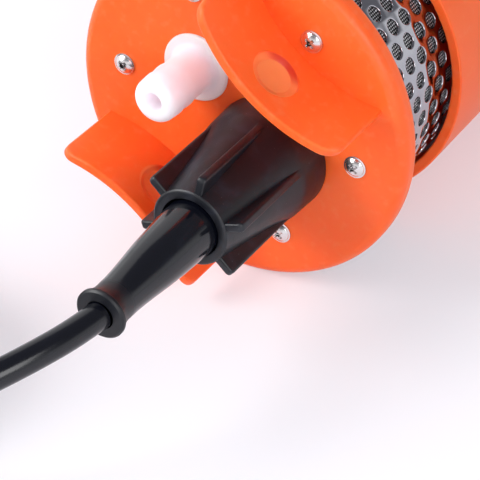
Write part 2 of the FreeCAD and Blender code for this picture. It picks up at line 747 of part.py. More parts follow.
def diaphragm():
    """Rubber sheet clamped behind the valve plate, open at the three pads."""
    tools = screw_holes(PUMP_SCREW_PCD_R, PUMP_SCREW_R + RUN_GAP, PLATE_END - OVER,
                        SHEET_END + OVER, SCREW_COUNT, EAR_DIR)
    tools += screw_holes(CHAMBER_PCD_R, CHAMBER_R - 0.7, PLATE_END - OVER,
                         SHEET_END + OVER, 3, CHAMBER_ANGLES[0])
    return bar(HEAD_R, PLATE_END, SHEET_END).cut(tools)


# ---------------------------------------------------------------- swash drive

def tilted(shape):
    """Lean a shape to the swash angle about the pivot."""
    shape.rotate(place(0, PIVOT, 0), V(0, 0, 1), -TILT)
    return shape


def diaphragm_pads():
    pads = []
    for angle in CHAMBER_ANGLES:
        x, z = polar(CHAMBER_PCD_R, angle)
        pads.append(tilted(bar(CHAMBER_R - 1.7, PLATE_END + 0.6, SHEET_END + 0.6, x, z)))
    return together(pads)


def wobble_plate():
    """Three-armed plate that pushes the pads, with a bearing pocket behind."""
    parts = [bar(HUB_R, HUB_START, HUB_END)]
    for angle in CHAMBER_ANGLES:
        x, z = polar(CHAMBER_PCD_R, angle)
        parts.append(bar(3.6, SHEET_END + 0.6, HUB_START + 3.5, x, z))
        parts.append(block(CHAMBER_PCD_R, 7.0, HUB_START, HUB_START + 3.5, angle,
                           CHAMBER_PCD_R / 2))
    pocket = bar(CAM_BEARING_R, HUB_START + 2, HUB_END + OVER)
    return tilted(merged(parts).cut(pocket))


def cam_bearing():
    return tilted(sleeve(CAM_BEARING_R, JOURNAL_R + RUN_GAP, HUB_START + 2.1, HUB_END - 1))


def eccentric_cam():
    """Cam hub on the shaft with a leaning journal."""
    hub = bar(CAM_R, CAM_START, CAM_END)
    journal = tilted(bar(JOURNAL_R, HUB_START + 2.6, CAM_START + OVER))
    cam = hub.fuse(journal)
    cam = cam.cut(bar(SHAFT_R, SHAFT_START, CAM_END + OVER))
    middle = 0.5 * (SHAFT_START + CAM_END)
    return cam.cut(Part.makeCylinder(M3_R, CAM_R + OVER, place(0, middle, 0), V(0, 0, 1)))


def cam_set_screw():
    middle = 0.5 * (SHAFT_START + CAM_END)
    return Part.makeCylinder(M3_R, CAM_R - SHAFT_R - 0.5, place(0, middle, SHAFT_R),
                             V(0, 0, 1))


def lead_point(radius, station, side=0.0):
    """Point on the plane of the leads, offset sideways."""
    angle = math.degrees(math.atan2(GLAND_Z, GLAND_X))
    x, z = polar(radius, angle)
    dx, dz = polar(side, angle + 90)
    return place(x + dx, station, z + dz)


def lead_route(start, end, side=0.0):
    """Route from the gland bore, outwards, then down past the pump head."""
    gland_r = math.hypot(GLAND_X, GLAND_Z)
    points = [lead_point(gland_r, start, side), lead_point(gland_r, LEAD_TURN, side),
              lead_point(LEAD_R, LEAD_TURN, side), lead_point(LEAD_R, end, side)]
    return bent_wire(points, [LEAD_BEND, LEAD_BEND])


def lead_conduit():
    """Sealed tube that takes the leads past the pump head."""
    outside = swept(lead_route(CABLE_START + 0.5, CONDUIT_END), CONDUIT_R)
    inside = swept(lead_route(CABLE_START - 0.5, CONDUIT_END + OVER), CONDUIT_R - 1)
    return outside.cut(inside)


def lead_wires():
    wires = []
    for side in (-WIRE_OFFSET, WIRE_OFFSET):
        wires.append(swept(lead_route(CABLE_START + 0.5, CAN_END + 2, side), WIRE_R))
    return together(wires)


def drive_housing():
    """Barrel around the swash drive and the sealed bulkhead behind it."""
    body = bar(HEAD_R, SHEET_END, BULKHEAD_START + OVER)
    body = body.fuse(bar(BULKHEAD_R, BULKHEAD_START, BULKHEAD_END))
    rim = sleeve(CAN_R + 4, CAN_R + PART_GAP, BULKHEAD_END - OVER, BELL_END - 1)
    body = body.fuse(rim)
    lead = lead_point(LEAD_R, 0)
    lead_x, lead_z = lead.x, lead.z - AXIS_Z
    tools = [bar(BARREL_IN_R, SHEET_END - OVER, WALL_START),
             bar(SHAFT_R + 0.3, WALL_START - OVER, BULKHEAD_END),
             bar(SEAL_HOUSING_R + RUN_GAP, WALL_START + 1, BULKHEAD_END + OVER),
             groove(BULKHEAD_R, BULKHEAD_START + HOUSING_RING_SETBACK),
             bar(CONDUIT_R + RUN_GAP, BULKHEAD_START - OVER, CONDUIT_END, lead_x, lead_z),
             bar(WIRE_R + WIRE_OFFSET + 0.2, CONDUIT_END - OVER, BELL_END, lead_x, lead_z)]
    tools += screw_holes(PUMP_SCREW_PCD_R, PUMP_SCREW_R + RUN_GAP, SHEET_END - OVER,
                         SHEET_END + 10, SCREW_COUNT, EAR_DIR)
    tools += screw_holes(SCREW_PCD_R, M4_R + RUN_GAP, BULKHEAD_START - OVER,
                         BULKHEAD_START + 9, SCREW_COUNT, EAR_DIR)
    return body.cut(tools)


def groove(radius, start):
    """Cutting tool for an O-ring groove around a plug of this radius."""
    return sleeve(radius + OVER, radius - GROOVE_DEPTH, start, start + RING_CORD)


def retaining_ring():
    """Split ring that holds the bulkhead in the casing."""
    ring = sleeve(CASING_IN_R + 1.4, SCREEN_R - 1.3, SCREEN_END + 0.2, BULKHEAD_START - 0.05)
    return ring.cut(block(12.0, 9.0, SCREEN_END - OVER, BULKHEAD_START + OVER, EAR_DIR + 210,
                          CASING_IN_R))


def shaft_seal():
    start = WALL_START + 1
    ring = sleeve(SEAL_HOUSING_R, SHAFT_R + RUN_GAP, start, BULKHEAD_END - 0.5)
    return ring.cut(sleeve(SEAL_HOUSING_R - 2, SHAFT_R + 2, start + 1.5, BULKHEAD_END))


# ----------------------------------------------------------------------- motor

def front_bell():
    body = bar(CAN_R, BULKHEAD_END, BELL_END).fuse(bar(BEARING_R + 2.5, BELL_END - OVER,
                                                      BELL_END + 2))
    start = BULKHEAD_END + 1.5
    return body.cut([bar(BEARING_R, start, BELL_END + 3), bar(SHAFT_R + 2, 60, BELL_END)])


def ball_bearing(start):
    """Bearing drawn as two races with a shield between."""
    ring = sleeve(BEARING_R, SHAFT_R, start, start + BEARING_W)
    step = sleeve(BEARING_R - 2, SHAFT_R + 2, start - OVER, start + 0.5)
    back = sleeve(BEARING_R - 2, SHAFT_R + 2, start + BEARING_W - 0.5, start + BEARING_W + OVER)
    return ring.cut([step, back])


def front_bearing():
    return running_bearing(BULKHEAD_END + 1.5)


def running_bearing(start):
    """Bearing in its bell, clear of the turning shaft by a running gap."""
    return ball_bearing(start).cut(bar(SHAFT_R + RUN_GAP, start - OVER, start + BEARING_W + OVER))


def motor_can():
    return sleeve(CAN_R, CAN_R - CAN_T, BELL_END, CAN_END)


def field_magnets():
    out_r = CAN_R - CAN_T - RUN_GAP
    magnets = []
    for angle in (EAR_DIR, EAR_DIR + 180):
        arc = sleeve(out_r, CORE_R + AIR_GAP, CORE_START, CORE_END)
        for side in (-1, 1):
            half = block(2 * CAN_R, 2 * CAN_R, CORE_START - OVER, CORE_END + OVER, 0, 0)
            half.translate(V(0, 0, side * CAN_R))
            half.rotate(place(0, 0, 0), Y_DIR, -angle - side * 65)
            arc = arc.cut(half)
        magnets.append(arc)
    return together(magnets)


def motor_shaft():
    return bar(SHAFT_R, SHAFT_START, SHAFT_END)


def winding_slots(width, depth, start, end):
    return [block(depth + OVER, width, start, end, angle, CORE_R - depth / 2 + OVER / 2)
            for angle in ring_angles(SLOT_COUNT, 0)]


def armature_core():
    core = sleeve(CORE_R, SHAFT_R, CORE_START, CORE_END)
    return core.cut(winding_slots(SLOT_W, SLOT_DEPTH, CORE_START - OVER, CORE_END + OVER))


def armature_windings():
    """End turns and the copper lying in the slots."""
    out_r = CORE_R - 1.5
    parts = [sleeve(out_r, SHAFT_R + 4, CORE_START - 9, CORE_START),
             sleeve(out_r, SHAFT_R + 4, CORE_END, CORE_END + 8)]
    for angle in ring_angles(SLOT_COUNT, 0):
        parts.append(block(SLOT_DEPTH - 2, SLOT_W - 2 * RUN_GAP, CORE_START - OVER,
                           CORE_END + OVER, angle, CORE_R - SLOT_DEPTH / 2 - 0.5))
    return merged(parts)


def commutator():
    body = sleeve(COMMUTATOR_R, SHAFT_R, COMMUTATOR_START, COMMUTATOR_END)
    cuts = [block(1.6, 0.5, COMMUTATOR_START - OVER, COMMUTATOR_END - 2, angle, COMMUTATOR_R)
            for angle in ring_angles(SLOT_COUNT, 18)]
    return body.cut(cuts)


def brush_holder():
    """Insulating ring with two radial brush guides."""
    body = sleeve(CAN_R - CAN_T - RUN_GAP, COMMUTATOR_R + 3, HOLDER_START, HOLDER_END)
    middle = 0.5 * (HOLDER_START + HOLDER_END)
    for angle in (EAR_DIR + 90, EAR_DIR + 270):
        body = body.cut(block(20.0, BRUSH_W + 2 * RUN_GAP, middle - BRUSH_L / 2 - RUN_GAP,
                              middle + BRUSH_L / 2 + RUN_GAP, angle, COMMUTATOR_R + 10))
    return body


def carbon_brushes():
    middle = 0.5 * (HOLDER_START + HOLDER_END)
    brushes = []
    for angle in (EAR_DIR + 90, EAR_DIR + 270):
        brush = block(12.0, BRUSH_W, middle - BRUSH_L / 2, middle + BRUSH_L / 2, angle,
                      COMMUTATOR_R + 5)
        brushes.append(brush.cut(bar(COMMUTATOR_R + RUN_GAP, HOLDER_START, HOLDER_END)))
    return together(brushes)


def brush_springs():
    """Coil springs behind the brushes, drawn as plain sleeves."""
    middle = 0.5 * (HOLDER_START + HOLDER_END)
    springs = []
    for angle in (EAR_DIR + 90, EAR_DIR + 270):
        x, z = polar(1.0, angle)
        start = COMMUTATOR_R + 11.1
        length = COMMUTATOR_R + 19.9 - start
        base = place(x * start, middle, z * start)
        outer = Part.makeCylinder(2.6, length, base, V(x, 0, z))
        springs.append(outer.cut(Part.makeCylinder(1.8, length, base, V(x, 0, z))))
    return together(springs)


def rear_bell():
    body = bar(CAN_R, CAN_END, REAR_BELL_END).fuse(bar(BEARING_R + 2.5, CAN_END - 4,
                                                       CAN_END + OVER))
    return body.cut([bar(BEARING_R, CAN_END - 5, CAN_END + 5),
                     bar(SHAFT_R + 2, CAN_END, CAN_END + 6.5)])


def rear_bearing():
    return running_bearing(CAN_END + 5 - BEARING_W)


def terminal_block():
    """Block on the rear bell where the leads end."""
    angle = math.degrees(math.atan2(GLAND_Z, GLAND_X))
    start = CAN_R + RUN_GAP
    end = LEAD_R + WIRE_R + 2.5
    body = block(end - start, TERMINAL_W, CAN_END - 3, REAR_BELL_END, angle, 0.5 * (start + end))
    body = body.cut(bar(CAN_R + RUN_GAP, CAN_END - 5, REAR_BELL_END + OVER))
    for side in (-WIRE_OFFSET, WIRE_OFFSET):
        point = lead_point(LEAD_R, 0, side)
        body = body.cut(bar(WIRE_R + 0.02, CAN_END - 5, CAN_END + 2, point.x,
                            point.z - AXIS_Z))
    return body


# -------------------------------------------------------------- casing and base

def base_holes(radius, reach_in, reach_out):
    """Radial tools for the four base screws."""
    tools = []
    for angle in ring_angles(4, 45):
        x, z = polar(reach_in, angle)
        way = V(x / reach_in, 0, z / reach_in)
        tools.append(Part.makeCylinder(radius, reach_out - reach_in,
                                       place(x, BASE_SCREW_STATION, z), way))
    return tools


def motor_casing():
    """Coloured casing sleeve with a plain lip around the strainer."""
    tube = sleeve(CASING_R, CASING_IN_R, CASING_START, CASING_END)
    rims = [e for e in tube.Edges if isinstance(e.Curve, Part.Circle)
            and abs(e.CenterOfMass.y - (CASING_START - MID)) < 0.01]
    tube = tube.makeFillet(0.6, rims)
    ring = sleeve(CASING_IN_R + 1.5, CASING_IN_R - OVER, SCREEN_END + 0.15, BULKHEAD_START)
    return tube.cut([ring] + base_holes(M3_R + 0.1, BULKHEAD_R, CASING_R + OVER))


def motor_cushion():
    """Rubber ring that loads the motor against the bulkhead."""
    return sleeve(CAN_R - 2, SHAFT_R + 8, REAR_BELL_END, BASE_INNER)


def base_cap():
    body = disc(FLANGE_R, CASING_END, BASE_END, EDGE_ROUND)
    body = body.fuse(bar(BULKHEAD_R, BASE_SPIGOT, CASING_END + OVER))
    tools = [bar(CAN_R + 1.5, BASE_SPIGOT - OVER, BASE_INNER),
             groove(BULKHEAD_R, BASE_SPIGOT + BASE_RING_SETBACK)]
    return body.cut(tools + base_holes(M3_R + RUN_GAP, BULKHEAD_R - BASE_SCREW_BITE - 1,
                                       BULKHEAD_R + OVER))


def base_cap_screws():
    screws = []
    for angle in ring_angles(4, 45):
        screw = pan_screw(0, 0, BASE_SCREW_HEAD_R, SCREW_HEAD_H, M3_R,
                          CASING_R - BULKHEAD_R + BASE_SCREW_BITE)
        screw.rotate(place(0, 0, 0), V(0, 0, 1), 90)
        screw.translate(V(CASING_R, BASE_SCREW_STATION, 0))
        screw.rotate(place(0, 0, 0), Y_DIR, -angle)
        screws.append(screw)
    return together(screws)


NODES = {
    "end_cap": end_cap,
    "end_cap_screws": end_cap_screws,
    "outlet_nozzle": outlet_nozzle,
    "nozzle_o_ring": lambda: o_ring(TAIL_R - 2, TAIL_R, TAIL_GROOVE, NOZZLE_X, NOZZLE_Z),
    "gland_nut": gland_nut,
    "thrust_ring": thrust_ring,
    "gland_seal": gland_seal,
    "cable_boot": cable_boot,
    "cable": cable,
    "cable_coil": cable_coil,
    "coil_tie": coil_tie,
    "cable_plug": cable_plug,
    "plug_contacts": plug_contacts,
    "strainer_screen": strainer_screen,
    "strainer_mesh": strainer_mesh,
    "standoff_posts": standoff_posts,
    "pump_head": pump_head,
    "valve_plate": valve_plate,
    "inlet_valve_1": lambda: inlet_valve(0),
    "inlet_valve_2": lambda: inlet_valve(1),
    "inlet_valve_3": lambda: inlet_valve(2),
    "outlet_valve": outlet_valve,
    "pump_screws": pump_screws,
    "diaphragm": diaphragm,
    "diaphragm_pads": diaphragm_pads,
    "wobble_plate": wobble_plate,
    "cam_bearing": cam_bearing,
    "eccentric_cam": eccentric_cam,
    "cam_set_screw": cam_set_screw,
    "lead_conduit": lead_conduit,
    "lead_wires": lead_wires,
    "drive_housing": drive_housing,
    "housing_o_ring": lambda: o_ring(BULKHEAD_R - GROOVE_DEPTH, CASING_IN_R,
                                     BULKHEAD_START + HOUSING_RING_SETBACK),
    "retaining_ring": retaining_ring,
    "shaft_seal": shaft_seal,
    "front_bell": front_bell,
    "front_bearing": front_bearing,
    "motor_can": motor_can,
    "field_magnets": field_magnets,
    "motor_shaft": motor_shaft,
    "armature_core": armature_core,
    "armature_windings": armature_windings,
    "commutator": commutator,
    "brush_holder": brush_holder,
    "carbon_brushes": carbon_brushes,
    "brush_springs": brush_springs,
    "rear_bell": rear_bell,
    "rear_bearing": rear_bearing,
    "terminal_block": terminal_block,
    "motor_casing": motor_casing,
    "motor_cushion": motor_cushion,
    "base_cap": base_cap,
    "base_o_ring": lambda: o_ring(BULKHEAD_R - GROOVE_DEPTH, CASING_IN_R,
                                  BASE_SPIGOT + BASE_RING_SETBACK),
    "base_cap_screws": base_cap_screws,
}

os.makedirs("parts", exist_ok=True)
for name, make in NODES.items():
    shape = make()
    shape.exportStep("parts/%s.step" % name)
    box = shape.BoundBox
    print("%-18s solids %2d valid %s volume %9.1f x %7.1f %7.1f y %7.1f %7.1f z %6.1f %6.1f" % (
        name, len(shape.Solids), shape.isValid(), shape.Volume,
        box.XMin, box.XMax, box.YMin, box.YMax, box.ZMin, box.ZMax))
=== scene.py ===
"""Looks of a slim submersible well pump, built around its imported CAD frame."""

import logging
import math
from dataclasses import dataclass
from enum import Enum
from typing import Dict, Iterable, List, Optional, Sequence, Tuple, Union

import bmesh
import bpy
from mathutils import Matrix, Vector


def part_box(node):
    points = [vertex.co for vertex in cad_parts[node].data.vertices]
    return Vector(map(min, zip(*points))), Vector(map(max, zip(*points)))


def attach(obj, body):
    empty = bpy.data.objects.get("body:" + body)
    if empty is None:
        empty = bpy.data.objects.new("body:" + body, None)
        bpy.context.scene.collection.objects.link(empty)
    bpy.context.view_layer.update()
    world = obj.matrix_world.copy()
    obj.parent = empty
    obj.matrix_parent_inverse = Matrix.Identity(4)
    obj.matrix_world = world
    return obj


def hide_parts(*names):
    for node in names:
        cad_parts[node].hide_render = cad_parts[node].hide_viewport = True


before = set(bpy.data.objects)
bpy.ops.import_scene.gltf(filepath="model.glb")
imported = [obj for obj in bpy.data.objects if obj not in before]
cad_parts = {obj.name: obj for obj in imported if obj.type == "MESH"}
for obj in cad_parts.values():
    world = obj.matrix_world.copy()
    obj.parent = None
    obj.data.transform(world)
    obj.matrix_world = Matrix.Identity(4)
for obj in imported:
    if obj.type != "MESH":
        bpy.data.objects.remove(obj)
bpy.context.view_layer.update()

LOG = logging.getLogger("pump")
MM = 0.001
Colour = Tuple[float, float, float]
Number = Union[int, float]
Outline = Sequence[Tuple[float, float]]


def linear(code: str) -> Colour:
    """Turn a six-digit colour code into linear red, green and blue.

    Args:
        code: The colour as "#RRGGBB".

    Returns:
        Linear values from 0 to 1.
    """
    parts = [int(code[i:i + 2], 16) / 255 for i in (1, 3, 5)]
    return tuple(p / 12.92 if p <= 0.04045 else ((p + 0.055) / 1.055) ** 2.4 for p in parts)


# ------------------------------------------------------------------ shader maths


class Signal:
    """A shader socket that can be used in Python expressions."""

    def __init__(self, graph: "Graph", socket: bpy.types.NodeSocket) -> None:
        """Wrap one output socket of a graph."""
        self.graph = graph
        self.socket = socket

    def _math(self, operation: str, *values: Union["Signal", Number]) -> "Signal":
        """Add a Math node.

        Args:
            operation: The node's operation.
            values: Its inputs in order.

        Returns:
            The node's result.
        """
        return self.graph.node("ShaderNodeMath", {"operation": operation}, dict(enumerate(values)))

    def __add__(self, other: Union["Signal", Number]) -> "Signal":
        """Sum."""
        return self._math("ADD", self, other)

    def __radd__(self, other: Number) -> "Signal":
        """Sum with a number in front."""
        return self._math("ADD", other, self)

    def __sub__(self, other: Union["Signal", Number]) -> "Signal":
        """Difference."""
        return self._math("SUBTRACT", self, other)

    def __rsub__(self, other: Number) -> "Signal":
        """Difference with a number in front."""
        return self._math("SUBTRACT", other, self)

    def __mul__(self, other: Union["Signal", Number]) -> "Signal":
        """Product."""
        return self._math("MULTIPLY", self, other)

    def __rmul__(self, other: Number) -> "Signal":
        """Product with a number in front."""
        return self._math("MULTIPLY", other, self)

    def other(self, output: Union[int, str]) -> "Signal":
        """Another output of the same node."""
        return Signal(self.graph, self.socket.node.outputs[output])

    def sine(self) -> "Signal":
        """Sine of the value in radians."""
        return self._math("SINE", self)

    def angle_to(self, other: "Signal") -> "Signal":
        """Angle whose tangent is this value over the other."""
        return self._math("ARCTAN2", self, other)

    def above(self, low: float, high: float) -> "Signal":
        """Rise smoothly from 0 at low to 1 at high."""
        return self.graph.node("ShaderNodeMapRange", {"interpolation_type": "SMOOTHSTEP"},
                               {"Value": self, "From Min": low, "From Max": high})

    def between(self, low: float, high: float) -> "Signal":
        """Map 0 to 1 onto a range."""
        return self * (high - low) + low


class Graph:
    """The node tree of a material or of the surroundings."""

    def __init__(self, owner: Union[bpy.types.Material, bpy.types.World]) -> None:
        """Start an empty tree.

        Args:
            owner: The material or world that the tree belongs to.
        """
        owner.use_nodes = True
        self.owner = owner
        self.tree = owner.node_tree
        self.tree.nodes.clear()

    @classmethod
    def named(cls, name: str) -> "Graph":
        """Start a new material."""
        return cls(bpy.data.materials.new(name))

    def add(self, kind: str, settings: Optional[Dict[str, object]] = None,
            inputs: Optional[Dict[Union[int, str], object]] = None) -> bpy.types.Node:
        """Add any node.

        Args:
            kind: The node's type.
            settings: Its properties, set first.
            inputs: Values or signals for its sockets, by name or place.

        Returns:
            The node.
        """
        made = self.tree.nodes.new(kind)
        for key, value in (settings or {}).items():
            setattr(made, key, value)
        for key, value in (inputs or {}).items():
            socket = made.inputs[key]
            if isinstance(value, Signal):
                self.tree.links.new(value.socket, socket)
            elif isinstance(value, tuple) and len(value) == 3 and socket.type == "RGBA":
                socket.default_value = (*value, 1.0)
            else:
                socket.default_value = value
        return made

    def node(self, kind: str, settings: Optional[Dict[str, object]] = None,
             inputs: Optional[Dict[Union[int, str], object]] = None,
             output: Union[int, str] = 0) -> Signal:
        """Add any node and take one of its outputs.

        Args:
            kind: The node's type.
            settings: Its properties, set first.
            inputs: Values or signals for its sockets, by name or place.
            output: Which output the signal takes.

        Returns:
            The chosen output.
        """
        return Signal(self, self.add(kind, settings, inputs).outputs[output])

    def place(self) -> Signal:
        """Position in the row frame, in metres."""
        return self.node("ShaderNodeTexCoord", output="Object")

    def parts(self, vector: Signal) -> Tuple[Signal, Signal, Signal]:
        """Split a vector.

        Args:
            vector: The vector.

        Returns:
            Its X, Y and Z.
        """
        x = self.node("ShaderNodeSeparateXYZ", inputs={0: vector})
        return x, x.other("Y"), x.other("Z")

    def stretched(self, scale: Tuple[float, float, float]) -> Signal:
        """Position stretched along the axes.

        Args:
            scale: Factor along X, Y and Z.

        Returns:
            The stretched position.
        """
        return self.node("ShaderNodeVectorMath", {"operation": "MULTIPLY"},
                         {0: self.place(), 1: scale})

    def noise(self, size: float, detail: float = 3.0, vector: Optional[Signal] = None,
              distortion: float = 0.0) -> Signal:
        """Cloudy noise.

        Args:
            size: Feature size in millimetres.
            detail: How many finer layers it has.
            vector: Position to use, the object's own when left out.
            distortion: How far the clouds are stirred.

        Returns:
            Noise from 0 to 1.
        """
        return self.node("ShaderNodeTexNoise", inputs={
            "Vector": vector or self.place(), "Scale": 1000.0 / size, "Detail": detail,
            "Distortion": distortion})

    def mix(self, factor: Union[Signal, float], first: Union[Signal, Colour],
            second: Union[Signal, Colour]) -> Signal:
        """Mix two colours.

        Args:
            factor: 0 gives the first, 1 the second.
            first: The first colour.
            second: The second colour.

        Returns:
            The mixed colour.
        """
        return self.node("ShaderNodeMix", {"data_type": "RGBA"},
                         {0: factor, 6: first, 7: second}, output=2)

    def bump(self, height: Signal, depth: float, strength: float = 1.0,
             under: Optional[Signal] = None) -> Signal:
        """Bump a surface.

        Args:
            height: Height from 0 to 1.
            depth: What a height of 1 means, in millimetres.
            strength: How much of it shows.
            under: A bump that lies below this one.

        Returns:
            The bumped normal.
        """
        inputs = {"Height": height, "Distance": depth * MM, "Strength": strength}
        if under is not None:
            inputs["Normal"] = under
        return self.node("ShaderNodeBump", inputs=inputs)

    def surface(self, **sockets: object) -> bpy.types.Material:
        """Finish the material with a Principled shader.

        Args:
            sockets: Values or signals, by socket name with underscores for spaces.

        Returns:
            The finished material.
        """
        inputs = {key.replace("_", " "): value for key, value in sockets.items()}
        shader = self.node("ShaderNodeBsdfPrincipled", inputs=inputs)
        self.add("ShaderNodeOutputMaterial", inputs={"Surface": shader})
        return self.owner

    def seen(self) -> Signal:
        """Tell the rays that show the surroundings from those that only light things.

        Returns:
            1 for the rays that show them.
        """
        camera = self.node("ShaderNodeLightPath", output="Is Camera Ray")
        rays = camera + camera.other("Is Glossy Ray") + camera.other("Is Transmission Ray")
        return rays.above(0.0, 0.5)


# ----------------------------------------------------------------------- finishes


@dataclass(frozen=True)
class MouldedPlastic:
    """Satin moulded plastic that lets a little light through, with thin round ear dishes."""

    name: str = "orange_moulding"
    colour: Colour = linear("#FF6322")
    cloud: Colour = linear("#FF7438")
    cloud_share: float = 0.35
    scuff: Colour = linear("#FFB48C")
    scuff_share: float = 0.08
    roughness: float = 0.4
    glow: float = 0.45
    glow_depth: float = 6.0
    grain: float = 0.35
    # Painted light: the dish floor is paled towards this colour, standing for light through the
    # thin web.
    web_glow: Colour = linear("#FF8E54")
    web_glow_share: float = 0.8
    # Painted shade: the dish wall towards the flange is darkened towards this colour.
    shaded_wall: Colour = linear("#D42A06")
    shaded_wall_share: float = 0.95
    dish_turn: float = 52.3
    dish_station: float = -12.5
    dish_radius: float = 7.3
    dish_hollow: float = 0.9
    # Shares of the radius over which the rim ends the dish and its floor meets the wall, where the
    # wall's painted shade sets in.
    dish_rim: Tuple[float, float] = (0.92, 1.0)
    wall_foot: Tuple[float, float] = (0.68, 0.76)
    # How far behind the dish's middle its wall falls into shade, in millimetres.
    wall_shade: Tuple[float, float] = (1.5, 6.0)

    def off_dish(self, g: Graph, layout: "Layout") -> Signal:
        """Distance from the line through the middles of both ear dishes.

        Args:
            g: The material's graph.
            layout: Places worked out from the frame.

        Returns:
            The distance in metres.
        """
        turn = math.radians(self.dish_turn)
        away = g.node("ShaderNodeVectorMath", {"operation": "SUBTRACT"},
                      {0: g.place(), 1: tuple(layout.at(0.0, self.dish_station, 0.0))})
        across = g.node("ShaderNodeVectorMath", {"operation": "CROSS_PRODUCT"},
                        {0: away, 1: (math.cos(turn), 0.0, math.sin(turn))})
        return g.node("ShaderNodeVectorMath", {"operation": "LENGTH"}, {0: across}, "Value")

    def dished(self, g: Graph, layout: "Layout", tone: Signal, off: Signal) -> Signal:
        """Colour the dishes: a paler web as painted light through the thin plastic, and painted
        shade on the wall towards the flange.

        Args:
            g: The material's graph.
            layout: Places worked out from the frame.
            tone: The colour round the dishes.
            off: Distance from the dishes' line.

        Returns:
            The whole surface's colour.
        """
        edge = self.dish_radius * MM
        _, along, _ = g.parts(g.place())
        shade = along.above(*(layout.along(self.dish_station + s) for s in self.wall_shade))
        foot = off.above(*(s * edge for s in self.wall_foot))
        # Painted light on the dish floor, and painted shade on its wall behind the dish's middle.
        floor = g.mix(foot * shade * self.shaded_wall_share, g.mix(self.web_glow_share, tone, self.web_glow),
                      self.shaded_wall)
        return g.mix(off.above(*(s * edge for s in self.dish_rim)), floor, tone)

    def material(self, layout: "Layout") -> bpy.types.Material:
        """Clouded colour, uneven gloss, a fine moulded grain and hollow ear dishes with painted
        light and shade.

        Args:
            layout: Places worked out from the frame.

        Returns:
            The finished material.
        """
        g = Graph.named(self.name)
        clouds = g.noise(22.0, 4.0, distortion=0.6)
        streaks = g.noise(9.0, 3.0, g.stretched((1.0, 0.35, 1.0)), 0.4)
        scuffs = g.noise(3.0, 5.0).above(0.52, 0.74)
        off = self.off_dish(g, layout)
        tone = g.mix(clouds.above(0.35, 0.75) * self.cloud_share, self.colour, self.cloud)
        tone = g.mix(scuffs * self.scuff_share, tone, self.scuff)
        tone = self.dished(g, layout, tone, off)
        rough = streaks.between(self.roughness - 0.05, self.roughness + 0.07) + scuffs * 0.05
        soft = g.bump(streaks, 0.06, 0.35)
        fine = g.bump(g.noise(self.grain, 2.0), 0.012, 0.5, soft)
        slope = off.above(0.0, self.dish_radius * MM)
        hollow = g.bump(slope * slope, self.dish_hollow, 1.0, fine)
        return g.surface(Base_Color=tone, Roughness=rough, Normal=hollow,
                         Subsurface_Weight=self.glow, Subsurface_Scale=self.glow_depth * MM,
                         Subsurface_Radius=(1.0, 0.22, 0.06), Specular_IOR_Level=0.36)


@dataclass(frozen=True)
class MilkyPlastic:
    """Translucent natural plastic of the hose tail."""

    name: str = "milky_plastic"
    colour: Colour = linear("#EAE3ED")
    cloud: Colour = linear("#E8E1EB")
    roughness: float = 0.34
    glow_depth: float = 11.0
    # Painted glow: emission strength standing for light passing through the thin wall.
    painted_glow: float = 0.1

    def material(self) -> bpy.types.Material:
        """Pale plastic with a faint painted glow standing for light through its wall.

        Returns:
            The finished material.
        """
        g = Graph.named(self.name)
        tone = g.mix(g.noise(6.0, 3.0).above(0.3, 0.8), self.colour, self.cloud)
        rough = g.noise(2.0).between(self.roughness - 0.05, self.roughness + 0.1)
        normal = g.bump(g.noise(0.8, 2.0), 0.02, 0.3)
        # The emission is a painted glow for light through the wall, not a lamp.
        return g.surface(Base_Color=tone, Roughness=rough, Normal=normal,
                         Subsurface_Weight=1.0, Subsurface_Scale=self.glow_depth * MM,
                         Subsurface_Radius=(1.0, 0.85, 0.9), Specular_IOR_Level=0.45,
                         Emission_Color=(1.0, 0.94, 0.98), Emission_Strength=self.painted_glow)


@dataclass(frozen=True)
class MattNylon:
    """Matt black moulded nylon with a dusty bloom."""

    name: str = "matt_nylon"
    colour: Colour = linear("#0F1118")
    bloom: Colour = linear("#343848")
    bloom_share: float = 0.32
    speck: Colour = linear("#8A8A90")
    speck_share: float = 0.25
    roughness: float = 0.4

    def material(self) -> bpy.types.Material:
        """Black plastic with pale dusty patches and a fine grain.

        Returns:
            The finished material.
        """
        g = Graph.named(self.name)
        dust = g.noise(7.0, 5.0, distortion=0.8).above(0.45, 0.8)
        specks = g.noise(0.7, 2.0).above(0.7, 0.78)
        tone = g.mix(dust * self.bloom_share, self.colour, self.bloom)
        tone = g.mix(specks * self.speck_share, tone, self.speck)
        rough = g.noise(4.0, 4.0).between(self.roughness - 0.08, self.roughness + 0.1)
        coarse = g.bump(g.noise(2.5, 3.0), 0.03, 0.3)
        fine = g.bump(g.noise(0.35, 2.0), 0.035, 0.8, coarse)
        return g.surface(Base_Color=tone, Roughness=rough, Normal=fine, Specular_IOR_Level=0.5)


@dataclass(frozen=True)
class GlossJacket:
    """Glossy black soft plastic of the boot, the cable and the plug."""

    name: str
    roughness: float
    colour: Colour = linear("#0A0C15")
    smear: Colour = linear("#1B1F2B")
    smear_share: float = 0.4
    # Stations from the dull end to full gloss, and how much rougher the end is.
    dull_end: Optional[Tuple[float, float]] = None
    dulling: float = 0.3

    def material(self, layout: "Layout") -> bpy.types.Material:
        """Black gloss with faint handling smears, duller towards one end where asked.

        Args:
            layout: Places worked out from the frame.

        Returns:
            The finished material.
        """
        g = Graph.named(self.name)
        smears = g.noise(5.0, 4.0, g.stretched((1.0, 0.4, 1.0)), 0.5)
        tone = g.mix(smears.above(0.55, 0.85) * self.smear_share, self.colour, self.smear)
        rough = smears.between(self.roughness - 0.03, self.roughness + 0.06)
        if self.dull_end is not None:
            _, along, _ = g.parts(g.place())
            gloss = along.above(*(layout.along(s) for s in self.dull_end))
            rough = rough + (1 - gloss) * self.dulling
        waves = g.bump(g.noise(9.0, 1.0), 0.03, 0.2)
        fine = g.bump(g.noise(0.6, 2.0), 0.003, 0.3, waves)
        return g.surface(Base_Color=tone, Roughness=rough, Normal=fine, Specular_IOR_Level=0.5)


